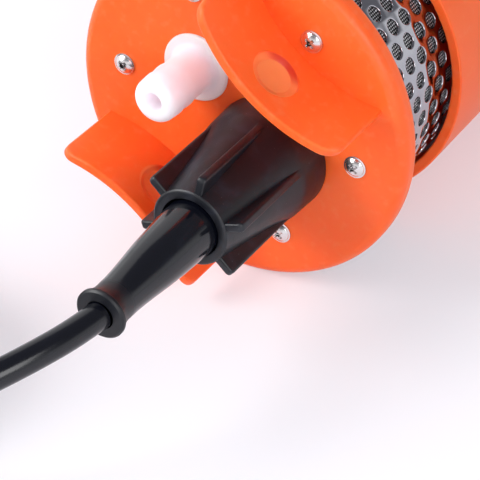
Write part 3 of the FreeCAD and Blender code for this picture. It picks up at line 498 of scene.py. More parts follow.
@dataclass(frozen=True)
class PolishedSheet:
    """Polished stainless sheet of the strainer, slightly dented by punching."""

    name: str = "polished_sheet"
    colour: Colour = linear("#B4B4BA")
    stain: Colour = linear("#9696A0")
    stain_share: float = 0.5
    roughness: float = 0.08
    # The sheet's far end leans in: from the first station, fully from the second.
    lean_from: Tuple[float, float] = (29.34, 33.34)
    lean: float = 9.0

    def material(self, layout: "Layout") -> bpy.types.Material:
        """Bright steel with soft dents, fine rolling lines and a rim that leans in.

        Args:
            layout: Places worked out from the frame.

        Returns:
            The finished material.
        """
        g = Graph.named(self.name)
        _, along, _ = g.parts(g.place())
        start, full = (layout.along(s) for s in self.lean_from)
        fall = (along - start) * -math.tan(math.radians(self.lean)) * along.above(start, full)
        rim = g.bump(fall, 1 / MM)
        dents = g.bump(g.noise(6.0, 2.0), 0.12, 0.35, rim)
        lines = g.bump(g.noise(0.5, 2.0, g.stretched((0.1, 1.0, 0.1))), 0.004, 0.35, dents)
        stains = g.noise(12.0, 4.0).above(0.4, 0.8)
        tone = g.mix(stains * self.stain_share, self.colour, self.stain)
        rough = g.noise(4.0, 4.0).between(self.roughness - 0.04, self.roughness + 0.08)
        return g.surface(Base_Color=tone, Metallic=1.0, Roughness=rough, Normal=lines)


@dataclass(frozen=True)
class FilterWeave:
    """Fine filter cloth behind the screen: bright knots, with painted shade between them for its
    dark openings.
    """

    name: str = "filter_weave"
    # Painted shade: the dark between the knots stands for shade seen through the cloth's openings.
    opening_shade: Colour = linear("#2A2A2C")
    knot: Colour = linear("#E8E8EA")
    radius: float = 42.9
    pitch: float = 0.85

    def material(self, layout: "Layout") -> bpy.types.Material:
        """Staggered bright knots over painted shade, from the angle and the place along the pump.

        Args:
            layout: Places worked out from the frame.

        Returns:
            The finished material.
        """
        g = Graph.named(self.name)
        x, y, z = g.parts(g.place())
        around = x.angle_to(z - layout.axis_height) * (self.radius * MM)
        turn = math.pi / (self.pitch * MM)
        weave = ((around + y) * turn).sine() * ((around - y) * turn).sine()
        knots = weave.above(0.05, 0.6)
        # Knots in the wire's own bright colour, painted shade everywhere between them.
        tone = g.mix(knots * g.noise(3.0, 3.0).between(0.75, 1.0), self.opening_shade, self.knot)
        return g.surface(Base_Color=tone, Metallic=0.75, Roughness=knots.between(0.55, 0.3),
                         Normal=g.bump(knots, 0.12, 0.7))


class Grain(Enum):
    """How a plain finish is textured."""

    CAST = (1.2, 0.05, 0.5)
    TURNED = (0.25, 0.006, 0.5)
    MOULDED = (0.5, 0.012, 0.5)
    SOFT = (0.9, 0.03, 0.4)
    WOUND = (0.6, 0.08, 0.9)


@dataclass(frozen=True)
class PlainFinish:
    """Finish of the pieces that are mostly out of sight."""

    name: str
    colour: Colour
    metal: float
    roughness: float
    grain: Grain
    patch: float = 0.25

    def material(self) -> bpy.types.Material:
        """Patchy tone, uneven gloss and the grain of how it was made.

        Returns:
            The finished material.
        """
        g = Graph.named(self.name)
        size, depth, strength = self.grain.value
        patches = g.noise(9.0, 4.0, distortion=0.5).above(0.35, 0.8)
        darker = tuple(c * 0.62 for c in self.colour)
        tone = g.mix(patches * self.patch, self.colour, darker)
        vector = g.stretched((1.0, 0.08, 1.0)) if self.grain is Grain.WOUND else None
        if self.grain is Grain.TURNED:
            vector = g.stretched((0.15, 1.0, 0.15))
        normal = g.bump(g.noise(size, 3.0, vector), depth, strength)
        rough = g.noise(5.0, 4.0).between(max(0.05, self.roughness - 0.07), self.roughness + 0.1)
        return g.surface(Base_Color=tone, Metallic=self.metal, Roughness=rough, Normal=normal)


PLAIN_FINISHES: Dict[str, PlainFinish] = {finish.name: finish for finish in (
    PlainFinish("plated_steel", linear("#E2DEDE"), 1.0, 0.22, Grain.TURNED, 0.2),
    PlainFinish("acetal", linear("#E2DFD6"), 0.0, 0.42, Grain.MOULDED),
    PlainFinish("seal_rubber", linear("#1B1B1D"), 0.0, 0.62, Grain.SOFT),
    PlainFinish("stainless", linear("#C6C7CB"), 1.0, 0.3, Grain.TURNED),
    PlainFinish("cast_alloy", linear("#BFC0C3"), 1.0, 0.45, Grain.CAST),
    PlainFinish("motor_steel", linear("#8D9096"), 1.0, 0.38, Grain.TURNED),
    PlainFinish("zinc_plate", linear("#A9ADB0"), 1.0, 0.42, Grain.CAST, 0.4),
    PlainFinish("ferrite", linear("#38383B"), 0.0, 0.7, Grain.CAST),
    PlainFinish("copper_wire", linear("#B4642E"), 0.9, 0.34, Grain.WOUND),
    PlainFinish("brass", linear("#C79C54"), 1.0, 0.28, Grain.TURNED),
    PlainFinish("carbon", linear("#232325"), 0.1, 0.6, Grain.CAST),
    PlainFinish("grey_tube", linear("#6A6E73"), 0.0, 0.45, Grain.MOULDED),
    PlainFinish("lead_jacket", linear("#A03028"), 0.0, 0.4, Grain.SOFT),
    PlainFinish("black_nylon", linear("#202024"), 0.0, 0.5, Grain.MOULDED),
)}

HIDDEN_PIECES: Dict[str, Tuple[str, ...]] = {
    "plated_steel": ("end_cap_screws", "base_cap_screws"),
    "acetal": ("thrust_ring", "pump_head", "valve_plate", "wobble_plate"),
    "seal_rubber": ("nozzle_o_ring", "gland_seal", "inlet_valve_1", "inlet_valve_2",
                    "inlet_valve_3", "outlet_valve", "diaphragm", "diaphragm_pads",
                    "housing_o_ring", "shaft_seal", "motor_cushion", "base_o_ring"),
    "stainless": ("standoff_posts", "pump_screws"),
    "cast_alloy": ("drive_housing", "front_bell", "rear_bell", "eccentric_cam"),
    "motor_steel": ("cam_bearing", "cam_set_screw", "retaining_ring", "front_bearing",
                    "rear_bearing", "motor_shaft", "armature_core", "brush_springs"),
    "zinc_plate": ("motor_can",),
    "ferrite": ("field_magnets",),
    "copper_wire": ("armature_windings",),
    "brass": ("commutator", "plug_contacts"),
    "carbon": ("carbon_brushes",),
    "grey_tube": ("lead_conduit",),
    "lead_jacket": ("lead_wires",),
    "black_nylon": ("brush_holder", "terminal_block"),
}


# ------------------------------------------------------------------- mesh helpers


def dress(node: str, material: bpy.types.Material) -> None:
    """Give a CAD node its material.

    Args:
        node: The node's name.
        material: Its finish.
    """
    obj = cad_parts[node]
    obj.data.materials.clear()
    obj.data.materials.append(material)
    LOG.info("dressed %s in %s", node, material.name)


def add_piece(name: str, mesh: bpy.types.Mesh, material: bpy.types.Material, body: str,
              stands_for: Sequence[str] = ()) -> bpy.types.Object:
    """Put a new mesh into the scene as a piece of the pump.

    Args:
        name: The piece's name.
        mesh: Its mesh, in the row frame.
        material: Its finish.
        body: The body it rides on.
        stands_for: CAD nodes that it replaces.

    Returns:
        The new object.
    """
    obj = bpy.data.objects.new(name, mesh)
    bpy.context.scene.collection.objects.link(obj)
    mesh.materials.append(material)
    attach(obj, body)
    if stands_for:
        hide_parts(*stands_for)
    LOG.info("built %s with %d faces", name, len(mesh.polygons))
    return obj


def closed_mesh(name: str, bm: bmesh.types.BMesh, sharp: float = 32.0) -> bpy.types.Mesh:
    """Turn a working mesh into a smooth-shaded mesh with crisp corners.

    Args:
        name: The mesh's name.
        bm: The working mesh, freed here.
        sharp: Edges that turn by more than this many degrees stay crisp.

    Returns:
        The mesh.
    """
    mesh = bpy.data.meshes.new(name)
    bm.to_mesh(mesh)
    bm.free()
    mesh.shade_smooth()
    mesh.set_sharp_from_angle(angle=math.radians(sharp))
    return mesh


def join_rings(bm: bmesh.types.BMesh, rings: Sequence[Sequence[bmesh.types.BMVert]],
               closed: bool = True) -> None:
    """Skin a row of equal rings of points.

    Args:
        bm: The working mesh.
        rings: The rings in order.
        closed: Whether the last ring joins the first.
    """
    follows = list(rings[1:]) + (list(rings[:1]) if closed else [])
    for here, there in zip(rings, follows):
        for k in range(len(here)):
            m = (k + 1) % len(here)
            bm.faces.new((here[k], here[m], there[m], there[k]))
    if not closed:
        bm.faces.new(rings[0])
        bm.faces.new(rings[-1])
    bmesh.ops.recalc_face_normals(bm, faces=bm.faces)


def rounded(points: Outline, radius: float, steps: int = 5,
            share: float = 0.45) -> List[Tuple[float, float]]:
    """Round every corner of a closed outline.

    Args:
        points: The outline's corners in order.
        radius: The corner radius.
        steps: Segments in each rounded corner.
        share: The most of a side that one corner takes.

    Returns:
        The outline with rounded corners.
    """
    out = []
    count = len(points)
    for k in range(count):
        before, here, after = (Vector(points[(k + d) % count]) for d in (-1, 0, 1))
        back = (before - here).normalized()
        ahead = (after - here).normalized()
        reach = min(radius, share * (before - here).length, share * (after - here).length)
        start, end = here + back * reach, here + ahead * reach
        for step in range(steps + 1):
            t = step / steps
            p = start * (1 - t) ** 2 + here * 2 * t * (1 - t) + end * t ** 2
            out.append((p.x, p.y))
    return out


def ease(value: float, start: float = 0.0, end: float = 1.0) -> float:
    """Rise smoothly from 0 at start to 1 at end.

    Args:
        value: Where to look.
        start: Where the rise begins.
        end: Where it ends.

    Returns:
        A value from 0 to 1.
    """
    t = min(1.0, max(0.0, (value - start) / (end - start)))
    return t * t * (3 - 2 * t)


def quarter(parts: int) -> List[Tuple[float, float]]:
    """Step through a quarter turn.

    Args:
        parts: How many equal steps it has.

    Returns:
        Sine and cosine after each step.
    """
    turns = [math.radians(90 * k / parts) for k in range(parts + 1)]
    return [(math.sin(a), math.cos(a)) for a in turns]


# ----------------------------------------------------------------- where things are


@dataclass(frozen=True)
class Layout:
    """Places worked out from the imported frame, in metres."""

    axis_height: float
    face: float
    gland: Tuple[float, float]

    @classmethod
    def measured(cls, lip_station: float = 42.0) -> "Layout":
        """Read the places from the CAD boxes.

        Args:
            lip_station: Station of the casing's open lip, in millimetres.

        Returns:
            The places.
        """
        casing_low, casing_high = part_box("motor_casing")
        washer_low, washer_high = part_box("thrust_ring")
        middle = (washer_low + washer_high) / 2
        return cls(axis_height=(casing_low.z + casing_high.z) / 2,
                   face=casing_low.y - lip_station * MM, gland=(middle.x, middle.z))

    def along(self, station: float) -> float:
        """Y in metres of a station, in millimetres behind the end cap's face."""
        return self.face + station * MM

    def at(self, x: float, station: float, z: float) -> Vector:
        """Point in metres at a station, in millimetres off the axis."""
        return Vector((x * MM, self.along(station), self.axis_height + z * MM))

    def ring(self, bm: bmesh.types.BMesh, middle: Tuple[float, float], station: float,
             points: Iterable[Tuple[float, float]]) -> List[bmesh.types.BMVert]:
        """Put a ring of points into a mesh.

        Args:
            bm: The working mesh.
            middle: The ring's middle off the axis, in millimetres.
            station: The ring's station.
            points: Radius and angle of each point.

        Returns:
            The new points.
        """
        x, z = middle
        return [bm.verts.new(self.at(x + radius * math.cos(a), station, z + radius * math.sin(a)))
                for radius, a in points]


# ----------------------------------------------------------------------- the cable


@dataclass
class Plug:
    """The moulded two-pin plug: a ribbed neck, shoulders and a body with grip hollows."""

    cable: float
    height: float = 14.0
    width: float = 19.0
    length: float = 44.0
    neck: float = 10.0
    neck_wall: float = 0.9
    ribs: int = 5
    rib_depth: float = 0.7
    rib_growth: float = 0.1
    shoulder: float = 7.0
    shoulder_steps: int = 4
    # How far past the neck the outline stays round, and the power that squares the rest.
    round_neck: float = 3.0
    squareness: float = 0.5
    # The hollows' first and last stations, from the neck's end and from the front.
    grip_inset: Tuple[float, float] = (8.0, 4.0)
    grip_depth: float = 0.9
    grip_steps: int = 8
    # How far before the front, and how far in, its rounded edge passes.
    front_edge: Tuple[Tuple[float, float], ...] = ((1.4, 0.0), (0.5, 0.3), (0.0, 1.2))
    steps: int = 48

    def stations(self) -> List[Tuple[float, float, float]]:
        """Work out the plug's outline.

        Returns:
            Station from the cable's end, half width and half height of each ring.
        """
        radius = self.cable / 2 + self.neck_wall
        rib = self.neck / self.ribs
        rows = []
        for k in range(self.ribs):
            crest = radius + self.rib_growth * k
            root = crest - self.rib_depth
            for share, size in ((0.0, crest), (0.5, crest), (0.6, root), (0.95, root)):
                rows.append((rib * (k + share), size, size))
        half_w, half_h = self.width / 2, self.height / 2
        for k in range(self.shoulder_steps + 1):
            t = k / self.shoulder_steps
            rows.append((self.neck + self.shoulder * t, radius + (half_w - radius) * ease(t),
                         radius + (half_h - radius) * ease(t)))
        first = self.neck + self.grip_inset[0]
        grip = self.length - self.grip_inset[1] - first
        for k in range(self.grip_steps + 1):
            dip = self.grip_depth * math.sin(math.pi * k / self.grip_steps) ** 2
            rows.append((first + grip * k / self.grip_steps, half_w - dip, half_h))
        return rows + [(self.length - before, half_w - inset, half_h - inset)
                       for before, inset in self.front_edge]

    def build(self, base: Vector, skin: bpy.types.Material) -> bpy.types.Object:
        """Make the plug.

        Args:
            base: Where the cable enters it.
            skin: Its finish.

        Returns:
            The plug's object.
        """
        bm = bmesh.new()
        rings = []
        for along, wide, high in self.stations():
            power = self.squareness if along > self.neck + self.round_neck else 1.0
            ring = []
            for k in range(self.steps):
                a = 2 * math.pi * k / self.steps
                c, s = math.cos(a), math.sin(a)
                ring.append(bm.verts.new(base + Vector((
                    math.copysign(abs(c) ** power, c) * wide * MM, along * MM,
                    math.copysign(abs(s) ** power, s) * high * MM))))
            rings.append(ring)
        join_rings(bm, rings, closed=False)
        return add_piece("moulded_plug", closed_mesh("moulded_plug", bm, sharp=40.0), skin, "pump",
                         ("cable_plug",))


@dataclass
class CoilStrap:
    """The strap that closes round one side of the coil."""

    inner: float
    outer: float
    bottom: float
    top: float
    thickness: float = 0.7
    half_width: float = 4.5
    corner: float = 2.6
    turn: float = 20.0

    def outline(self, inset: float) -> Outline:
        """The strap's rounded outline, drawn in by an inset.

        Args:
            inset: How far it is drawn in.

        Returns:
            Distance from the coil's middle and height of each point.
        """
        middle, half = (self.inner + self.outer) / 2, (self.outer - self.inner) / 2
        level, rise = (self.top + self.bottom) / 2, (self.top - self.bottom) / 2
        corners = [(middle - half, self.bottom), (middle + half, self.bottom),
                   (middle + half, self.top), (middle - half, self.top)]
        return [(middle + (r - middle) * (half - inset) / half,
                 level + (z - level) * (rise - inset) / rise)
                for r, z in rounded(corners, self.corner)]

    def build(self, centre: Vector, skin: bpy.types.Material) -> bpy.types.Object:
        """Make the strap.

        Args:
            centre: The coil's middle on the floor.
            skin: Its finish.

        Returns:
            The strap's object.
        """
        place = (Matrix.Translation(centre)
                 @ Matrix.Rotation(math.radians(self.turn), 4, "Z"))
        bm = bmesh.new()
        rings = []
        for inset, side in ((0.0, -self.half_width), (0.0, self.half_width),
                            (self.thickness, self.half_width),
                            (self.thickness, -self.half_width)):
            rings.append([bm.verts.new(place @ Vector((r * MM, side * MM, z * MM)))
                          for r, z in self.outline(inset)])
        join_rings(bm, rings)
        return add_piece("coil_strap", closed_mesh("coil_strap", bm), skin, "pump",
                         ("coil_tie",))


@dataclass
class Cable:
    """The power cable: its loose run and its coil, with the strap and the plug."""

    layout: Layout
    diameter: float = 7.5
    exit_station: float = -85.2
    boot_pivot: float = -30.0
    boot_slope: float = 1.15
    floor_gap: float = 0.35
    # Heading from -Y towards -X, slope and length of each run of the loose cable.
    runs: Tuple[Tuple[float, float, float], ...] = (
        (8.0, -1.0, 8.0), (18.0, -5.0, 10.0), (27.0, -9.5, 14.0), (39.0, -17.0, 20.0),
        (54.0, -28.0, 24.0), (70.0, -28.0, 25.0), (83.0, -13.0, 22.0), (90.0, -3.0, 16.0))
    inner_turn: float = 37.6
    turn_step: float = 7.8
    layers: int = 4
    points_per_turn: int = 16
    last_turn: float = 6.2167
    # Turns at which the winding sets off inwards, outwards and up, and how long each takes.
    moves_in: Tuple[float, ...] = (0.75, 3.9)
    moves_out: Tuple[float, ...] = (2.3, 5.45)
    moves_up: Tuple[float, ...] = (1.5, 3.1, 4.7)
    move_length: float = 0.2
    # Turns over which the end climbs to the plug, and how far in it goes, in steps.
    climb: Tuple[float, float] = (5.85, 6.2)
    climb_in: float = 0.9
    # How deep in the plug the last points of the cable lie.
    plug_depths: Tuple[float, float] = (1.0, 7.0)

    def exit_point(self) -> Vector:
        """Find where the cable leaves the boot.

        Returns:
            The point in metres.
        """
        slope = math.radians(self.boot_slope)
        length = self.boot_pivot - self.exit_station
        x, z = self.layout.gland
        pivot = Vector((x, self.layout.along(self.boot_pivot), z))
        return pivot + Vector((0, -math.cos(slope), -math.sin(slope))) * length * MM

    def route(self) -> List[Vector]:
        """Follow the loose run from the exit to the coil.

        Returns:
            Its control points.
        """
        here = self.exit_point()
        points = [here]
        for turn, slope, length in self.runs:
            a, b = math.radians(turn), math.radians(slope)
            here = here + length * MM * Vector((-math.sin(a) * math.cos(b),
                                                -math.cos(a) * math.cos(b), math.sin(b)))
            points.append(here)
        points[-1] = Vector((here.x, here.y, (self.diameter / 2 + self.floor_gap) * MM))
        return points

    def coil_centre(self) -> Vector:
        """Middle of the coil on the floor."""
        end = self.route()[-1]
        return Vector((end.x, end.y + (self.inner_turn + self.turn_step) * MM, 0))

    def coil_top(self) -> float:
        """Top of the coil in millimetres."""
        return self.floor_gap + self.diameter + (self.layers - 1) * self.turn_step

    def moved(self, turn: float, starts: Sequence[float]) -> float:
        """How many of the moves that set off at these turns are done."""
        return sum(ease(turn, start, start + self.move_length) for start in starts)

    def turn_place(self, turn: float, plug_middle: float) -> Tuple[float, float]:
        """Radius and height of the winding at a number of turns.

        Args:
            turn: Turns from where the cable meets the coil.
            plug_middle: Height of the plug's middle over the coil's top.

        Returns:
            Radius and height in millimetres.
        """
        climbed = ease(turn, *self.climb)
        inward = (self.moved(turn, self.moves_in) - self.moved(turn, self.moves_out)
                  + self.climb_in * climbed)
        radius = self.inner_turn + self.turn_step * (1 - inward)
        height = (self.diameter / 2 + self.floor_gap
                  + self.turn_step * self.moved(turn, self.moves_up))
        return radius, height + (self.coil_top() + plug_middle - height) * climbed

    def winding(self, plug_middle: float) -> List[Vector]:
        """Wind the coil.

        Args:
            plug_middle: Height of the plug's middle over the coil's top.

        Returns:
            The control points of its turns.
        """
        centre = self.coil_centre()
        swell = 1 / math.cos(math.pi / self.points_per_turn)
        points = []
        for k in range(1, int(self.last_turn * self.points_per_turn) + 1):
            turn = k / self.points_per_turn
            radius, height = self.turn_place(turn, plug_middle)
            a = -math.pi / 2 - 2 * math.pi * turn
            points.append(centre + Vector((radius * swell * math.cos(a),
                                           radius * swell * math.sin(a), height)) * MM)
        return points

    @staticmethod
    def plug_base() -> Vector:
        """Where the cable enters the plug, from the plug's CAD box."""
        low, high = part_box("cable_plug")
        return Vector(((low.x + high.x) / 2, low.y, (low.z + high.z) / 2))

    def line(self, points: Sequence[Vector], jacket: bpy.types.Material) -> bpy.types.Object:
        """Draw the cable as one smooth round curve.

        Args:
            points: Its control points.
            jacket: Its finish.

        Returns:
            The curve's object.
        """
        curve = bpy.data.curves.new("power_cable", "CURVE")
        curve.dimensions = "3D"
        curve.bevel_depth = self.diameter / 2 * MM
        curve.bevel_resolution = 8
        curve.use_fill_caps = True
        spline = curve.splines.new("NURBS")
        spline.points.add(len(points) - 1)
        for point, place in zip(spline.points, points):
            point.co = (*place, 1.0)
        spline.order_u = 3
        spline.use_endpoint_u = True
        spline.resolution_u = 10
        curve.materials.append(jacket)
        obj = bpy.data.objects.new("power_cable", curve)
        bpy.context.scene.collection.objects.link(obj)
        return obj

    @staticmethod
    def line_length(obj: bpy.types.Object) -> float:
        """Measure a curve's own line.

        Args:
            obj: The curve's object.

        Returns:
            Its length in metres.
        """
        bare = obj.data.copy()
        bare.bevel_depth = 0.0
        probe = bpy.data.objects.new("probe", bare)
        mesh = bpy.data.meshes.new_from_object(probe)
        total = sum((mesh.vertices[e.vertices[0]].co - mesh.vertices[e.vertices[1]].co).length
                    for e in mesh.edges)
        bpy.data.objects.remove(probe)
        bpy.data.curves.remove(bare)
        bpy.data.meshes.remove(mesh)
        return total

    def build(self, jacket: bpy.types.Material, plug_skin: bpy.types.Material,
              strap_skin: bpy.types.Material) -> None:
        """Args:
            jacket: Finish of the cable.
            plug_skin: Finish of the plug.
            strap_skin: Finish of the strap.
        """
        plug = Plug(self.diameter)
        base = self.plug_base()
        points = (self.route() + self.winding(plug.height / 2 + self.floor_gap)
                  + [base + Vector((0, depth * MM, 0)) for depth in self.plug_depths])
        obj = self.line(points, jacket)
        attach(obj, "pump")
        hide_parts("cable", "cable_coil")
        made_plug = plug.build(base, plug_skin)
        strap = CoilStrap(self.inner_turn - self.diameter / 2,
                          self.inner_turn + self.turn_step + self.diameter / 2,
                          self.floor_gap, self.coil_top())
        made_strap = strap.build(self.coil_centre(), strap_skin)
        length = self.line_length(obj)
        LOG.info("built power_cable, %.3f m long", length)
        self.diameter * MM


# ------------------------------------------------------------------- the strainer


@dataclass
class Strainer:
    """The punched sleeve round the inlet, with rolled-over hole edges."""

    layout: Layout
    outer_radius: float = 43.8
    sheet: float = 0.8
    start: float = 8.0
    end: float = 52.0
    # Where the lattice's rows count from, so that they fall on the holes' cells.
    first_row: float = 8.2
    columns: int = 46
    pitch: float = 6.72
    first_hole: float = 13.24
    last_hole: float = 47.9
    hole_radius: float = 2.28
    first_angle: float = 36.9
    edge: float = 0.32
    divisions: int = 8

    def levels(self) -> List[float]:
        """Divide the sheet lengthways.

        Returns:
            Stations of its lattice, a division of the pitch apart.
        """
        step = self.pitch / self.divisions
        count = int((self.end - self.first_row) / step)
        rows = [self.first_row + step * k for k in range(1, count)]
        return [self.start] + rows + [self.end]

    def point(self, column: float, station: float, depth: float) -> Vector:
        """Place on the sleeve.

        Args:
            column: Place round the sleeve, in columns of holes.
            station: Place along it in millimetres.
            depth: How deep in the sheet, in millimetres.

        Returns:
            The point in metres.
        """
        angle = math.radians(self.first_angle + 360.0 * column / self.columns)
        radius = self.outer_radius - depth
        return self.layout.at(radius * math.cos(angle), station, radius * math.sin(angle))

    def hole_rings(self) -> List[Tuple[float, float]]:
        """Round a hole's edge over and go down through the sheet.

        Returns:
            Radius and depth of each ring.
        """
        return [(self.hole_radius + self.edge * (1 - s), self.edge * (1 - c))
                for s, c in quarter(3)] + [(self.hole_radius, self.sheet)]

    def build(self, steel: bpy.types.Material) -> None:
        """Make the sleeve.

        Args:
            steel: Its finish.
        """
        bm = bmesh.new()
        levels = self.levels()
        count = self.columns * self.divisions
        faces = {}
        for side, depth in (("out", 0.0), ("in", self.sheet)):
            faces[side] = [[bm.verts.new(self.point(k / self.divisions - 0.5, level, depth))
                            for k in range(count)] for level in levels]
        taken = set()
        for column in range(self.columns):
            station = self.first_hole + (self.pitch / 2 if column % 2 == 0 else 0.0)
            while station < self.last_hole - self.hole_radius:
                self.punch(bm, faces, taken, column, station)
                station += self.pitch
        for row in range(len(levels) - 1):
            for k in range(count):
                if (row, k) not in taken:
                    n = (k + 1) % count
                    for side in ("out", "in"):
                        grid = faces[side]
                        bm.faces.new((grid[row][k], grid[row][n], grid[row + 1][n],
                                      grid[row + 1][k]))
        for row in (0, len(levels) - 1):
            for k in range(count):
                n = (k + 1) % count
                bm.faces.new((faces["out"][row][k], faces["out"][row][n],
                              faces["in"][row][n], faces["in"][row][k]))
        bmesh.ops.recalc_face_normals(bm, faces=bm.faces)
        add_piece("punched_sleeve", closed_mesh("punched_sleeve", bm, sharp=50.0), steel, "pump",
                  ("strainer_screen",))

    def punch(self, bm: bmesh.types.BMesh, faces: Dict[str, List[List[bmesh.types.BMVert]]],
              taken: set, column: int, station: float) -> None:
        """Fill one cell of the lattice with a hole.

        Args:
            bm: The working mesh.
            faces: The lattice's points on both faces of the sheet.
            taken: Lattice cells that no longer need a plain face.
            column: Which column of holes.
            station: The hole's middle along the sleeve.
        """
        n = self.divisions
        count = self.columns * n
        row0 = round((station - self.pitch / 2 - self.first_row) / (self.pitch / n))
        col0 = column * n
        for i in range(n):
            for j in range(n):
                taken.add((row0 + j, (col0 + i) % count))
        border = ([(i, 0) for i in range(n)] + [(n, j) for j in range(n)]
                  + [(n - i, n) for i in range(n)] + [(0, n - j) for j in range(n)])
        width = 2 * math.pi * self.outer_radius / self.columns
        rings = []
        for side in ("out", "in"):
            rings.append([faces[side][row0 + j][(col0 + i) % count] for i, j in border])
        outer, inner = rings
        chain = [outer]
        for radius, depth in self.hole_rings():
            ring = []
            for i, j in border:
                across, along = (i / n - 0.5) * width, (j / n - 0.5) * self.pitch
                size = math.hypot(across, along)
                ring.append(bm.verts.new(self.point(column + radius * across / size / width,
                                                    station + radius * along / size, depth)))
            chain.append(ring)
        chain.append(inner)
        for here, there in zip(chain, chain[1:]):
            for k in range(len(border)):
                m = (k + 1) % len(border)
                bm.faces.new((here[k], here[m], there[m], there[k]))


# ------------------------------------------------------------------ the gland nut


@dataclass
class GlandNut:
    """The finned gland nut: a round skirt, a hollowed cone and six rounded fins."""

    layout: Layout
    fins: int = 6
    first_fin: float = 17.7
    fin_tip: float = 16.6
    fin_half: float = 1.25
    fin_front: float = -42.7
    front_round: float = 1.3
    side_round: float = 0.6
    crest_round: float = 0.7
    crest_share: float = 0.9
    bare_crest: float = 0.1
    # How far behind its front the rows that round a fin's front end lie.
    round_depths: Tuple[float, ...] = (0.0, 0.08, 0.2, 0.38, 0.6, 0.9, 1.3)
    row_gap: float = 0.01
    foot_reach: float = 0.5
    crest_steps: int = 4
    side_steps: int = 6
    gap_steps: int = 12
    # Station and radius along the outside, front to back, and back again inside.
    outside: Tuple[Tuple[float, float], ...] = (
        (-43.1, 10.6), (-43.05, 10.85), (-42.9, 11.1), (-42.7, 11.3), (-40.0, 11.7),
        (-34.0, 12.55), (-28.0, 13.45), (-23.0, 14.25), (-19.0, 15.0), (-16.0, 15.7),
        (-14.0, 16.2), (-12.5, 16.6), (-11.4, 16.85), (-10.6, 16.98), (-9.6, 17.03),
        (-5.0, 17.2), (-1.0, 17.38), (-0.5, 17.3), (-0.25, 17.1), (-0.15, 16.9))
    inside: Tuple[Tuple[float, float], ...] = (
        (-0.15, 13.05), (-17.0, 13.05), (-17.0, 8.9), (-39.1, 8.9), (-41.1, 8.7),
        (-42.8, 8.7), (-43.02, 8.78), (-43.1, 9.0))

    def section(self, body: float, tip: float, half: float) -> Outline:
        """One sixth of the outside at a station, in a fin's own directions.

        Args:
            body: Radius between the fins.
            tip: Radius of the fin's crest.
            half: Half of the fin's thickness.

        Returns:
            Points from the fin's one foot over its crest and on to the next fin.
        """
        corner = min(self.crest_round, self.crest_share * half)
        shoulder = tip - corner
        foot = min(math.sqrt(body ** 2 - half ** 2), shoulder - self.foot_reach)
        side = [(foot + (shoulder - foot) * k / self.side_steps, half)
                for k in range(self.side_steps)]
        side += [(shoulder + corner * s, half - corner * (1 - c))
                 for s, c in quarter(self.crest_steps)]
        points = []
        for u, v in [(u, -v) for u, v in side] + side[::-1]:
            lift = max(1.0, body / math.hypot(u, v))
            points.append((u * lift, v * lift))
        start = math.atan2(half, foot)
        sweep = 2 * math.pi / self.fins - 2 * start
        for k in range(1, self.gap_steps):
            a = start + sweep * k / self.gap_steps
            points.append((body * math.cos(a), body * math.sin(a)))
        return points

    def body_radius(self, station: float) -> float:
        """Radius between the fins.

        Args:
            station: Where along the nut.

        Returns:
            The radius in millimetres.
        """
        for (s0, r0), (s1, r1) in zip(self.outside, self.outside[1:]):
            if s0 <= station <= s1:
                return r0 + (r1 - r0) * (station - s0) / (s1 - s0)
        return self.outside[-1][1]

    def front_rows(self) -> List[Tuple[float, Outline]]:
        """Round off the fins' front ends.

        Returns:
            Stations and sections of the rows there.
        """
        rows = []
        for depth in self.round_depths:
            rise = self.front_round - min(depth, self.front_round)
            thin = self.side_round - min(depth, self.side_round)
            tip = (self.fin_tip - self.front_round
                   + math.sqrt(self.front_round ** 2 - rise ** 2))
            half = (self.fin_half - self.side_round
                    + math.sqrt(self.side_round ** 2 - thin ** 2))
            station = self.fin_front + depth
            rows.append((station + self.row_gap,
                         self.section(self.body_radius(station), tip, half)))
        return rows

    def rows(self) -> List[Tuple[float, Outline]]:
        """Work out the outside, front to back.

        Returns:
            Stations and sections.
        """
        bare = self.fin_half - self.side_round
        ahead = [(s, self.section(r, r - self.bare_crest, bare)) for s, r in self.outside
                 if s <= self.fin_front]
        behind = [(s, self.section(r, self.fin_tip, self.fin_half)) for s, r in self.outside
                  if s > self.fin_front + self.front_round]
        return ahead + self.front_rows() + behind

    def build(self, skin: bpy.types.Material) -> None:
        """Make the nut.

        Args:
            skin: Its finish.
        """
        bm = bmesh.new()
        x, z = self.layout.gland
        middle = (x / MM, (z - self.layout.axis_height) / MM)
        turns = [math.radians(self.first_fin + 360 * fin / self.fins)
                 for fin in range(self.fins)]
        rings, angles = [], []
        for station, points in self.rows():
            polar = [(math.hypot(u, v), math.atan2(v, u) + turn)
                     for turn in turns for u, v in points]
            angles = [a for _, a in polar]
            rings.append(self.layout.ring(bm, middle, station, polar))
        for station, radius in self.inside:
            rings.append(self.layout.ring(bm, middle, station, [(radius, a) for a in angles]))
        join_rings(bm, rings)
        add_piece("finned_nut", closed_mesh("finned_nut", bm, sharp=38.0), skin, "gland_cap",
                  ("gland_nut",))


# ------------------------------------------------------------------ the hose tail


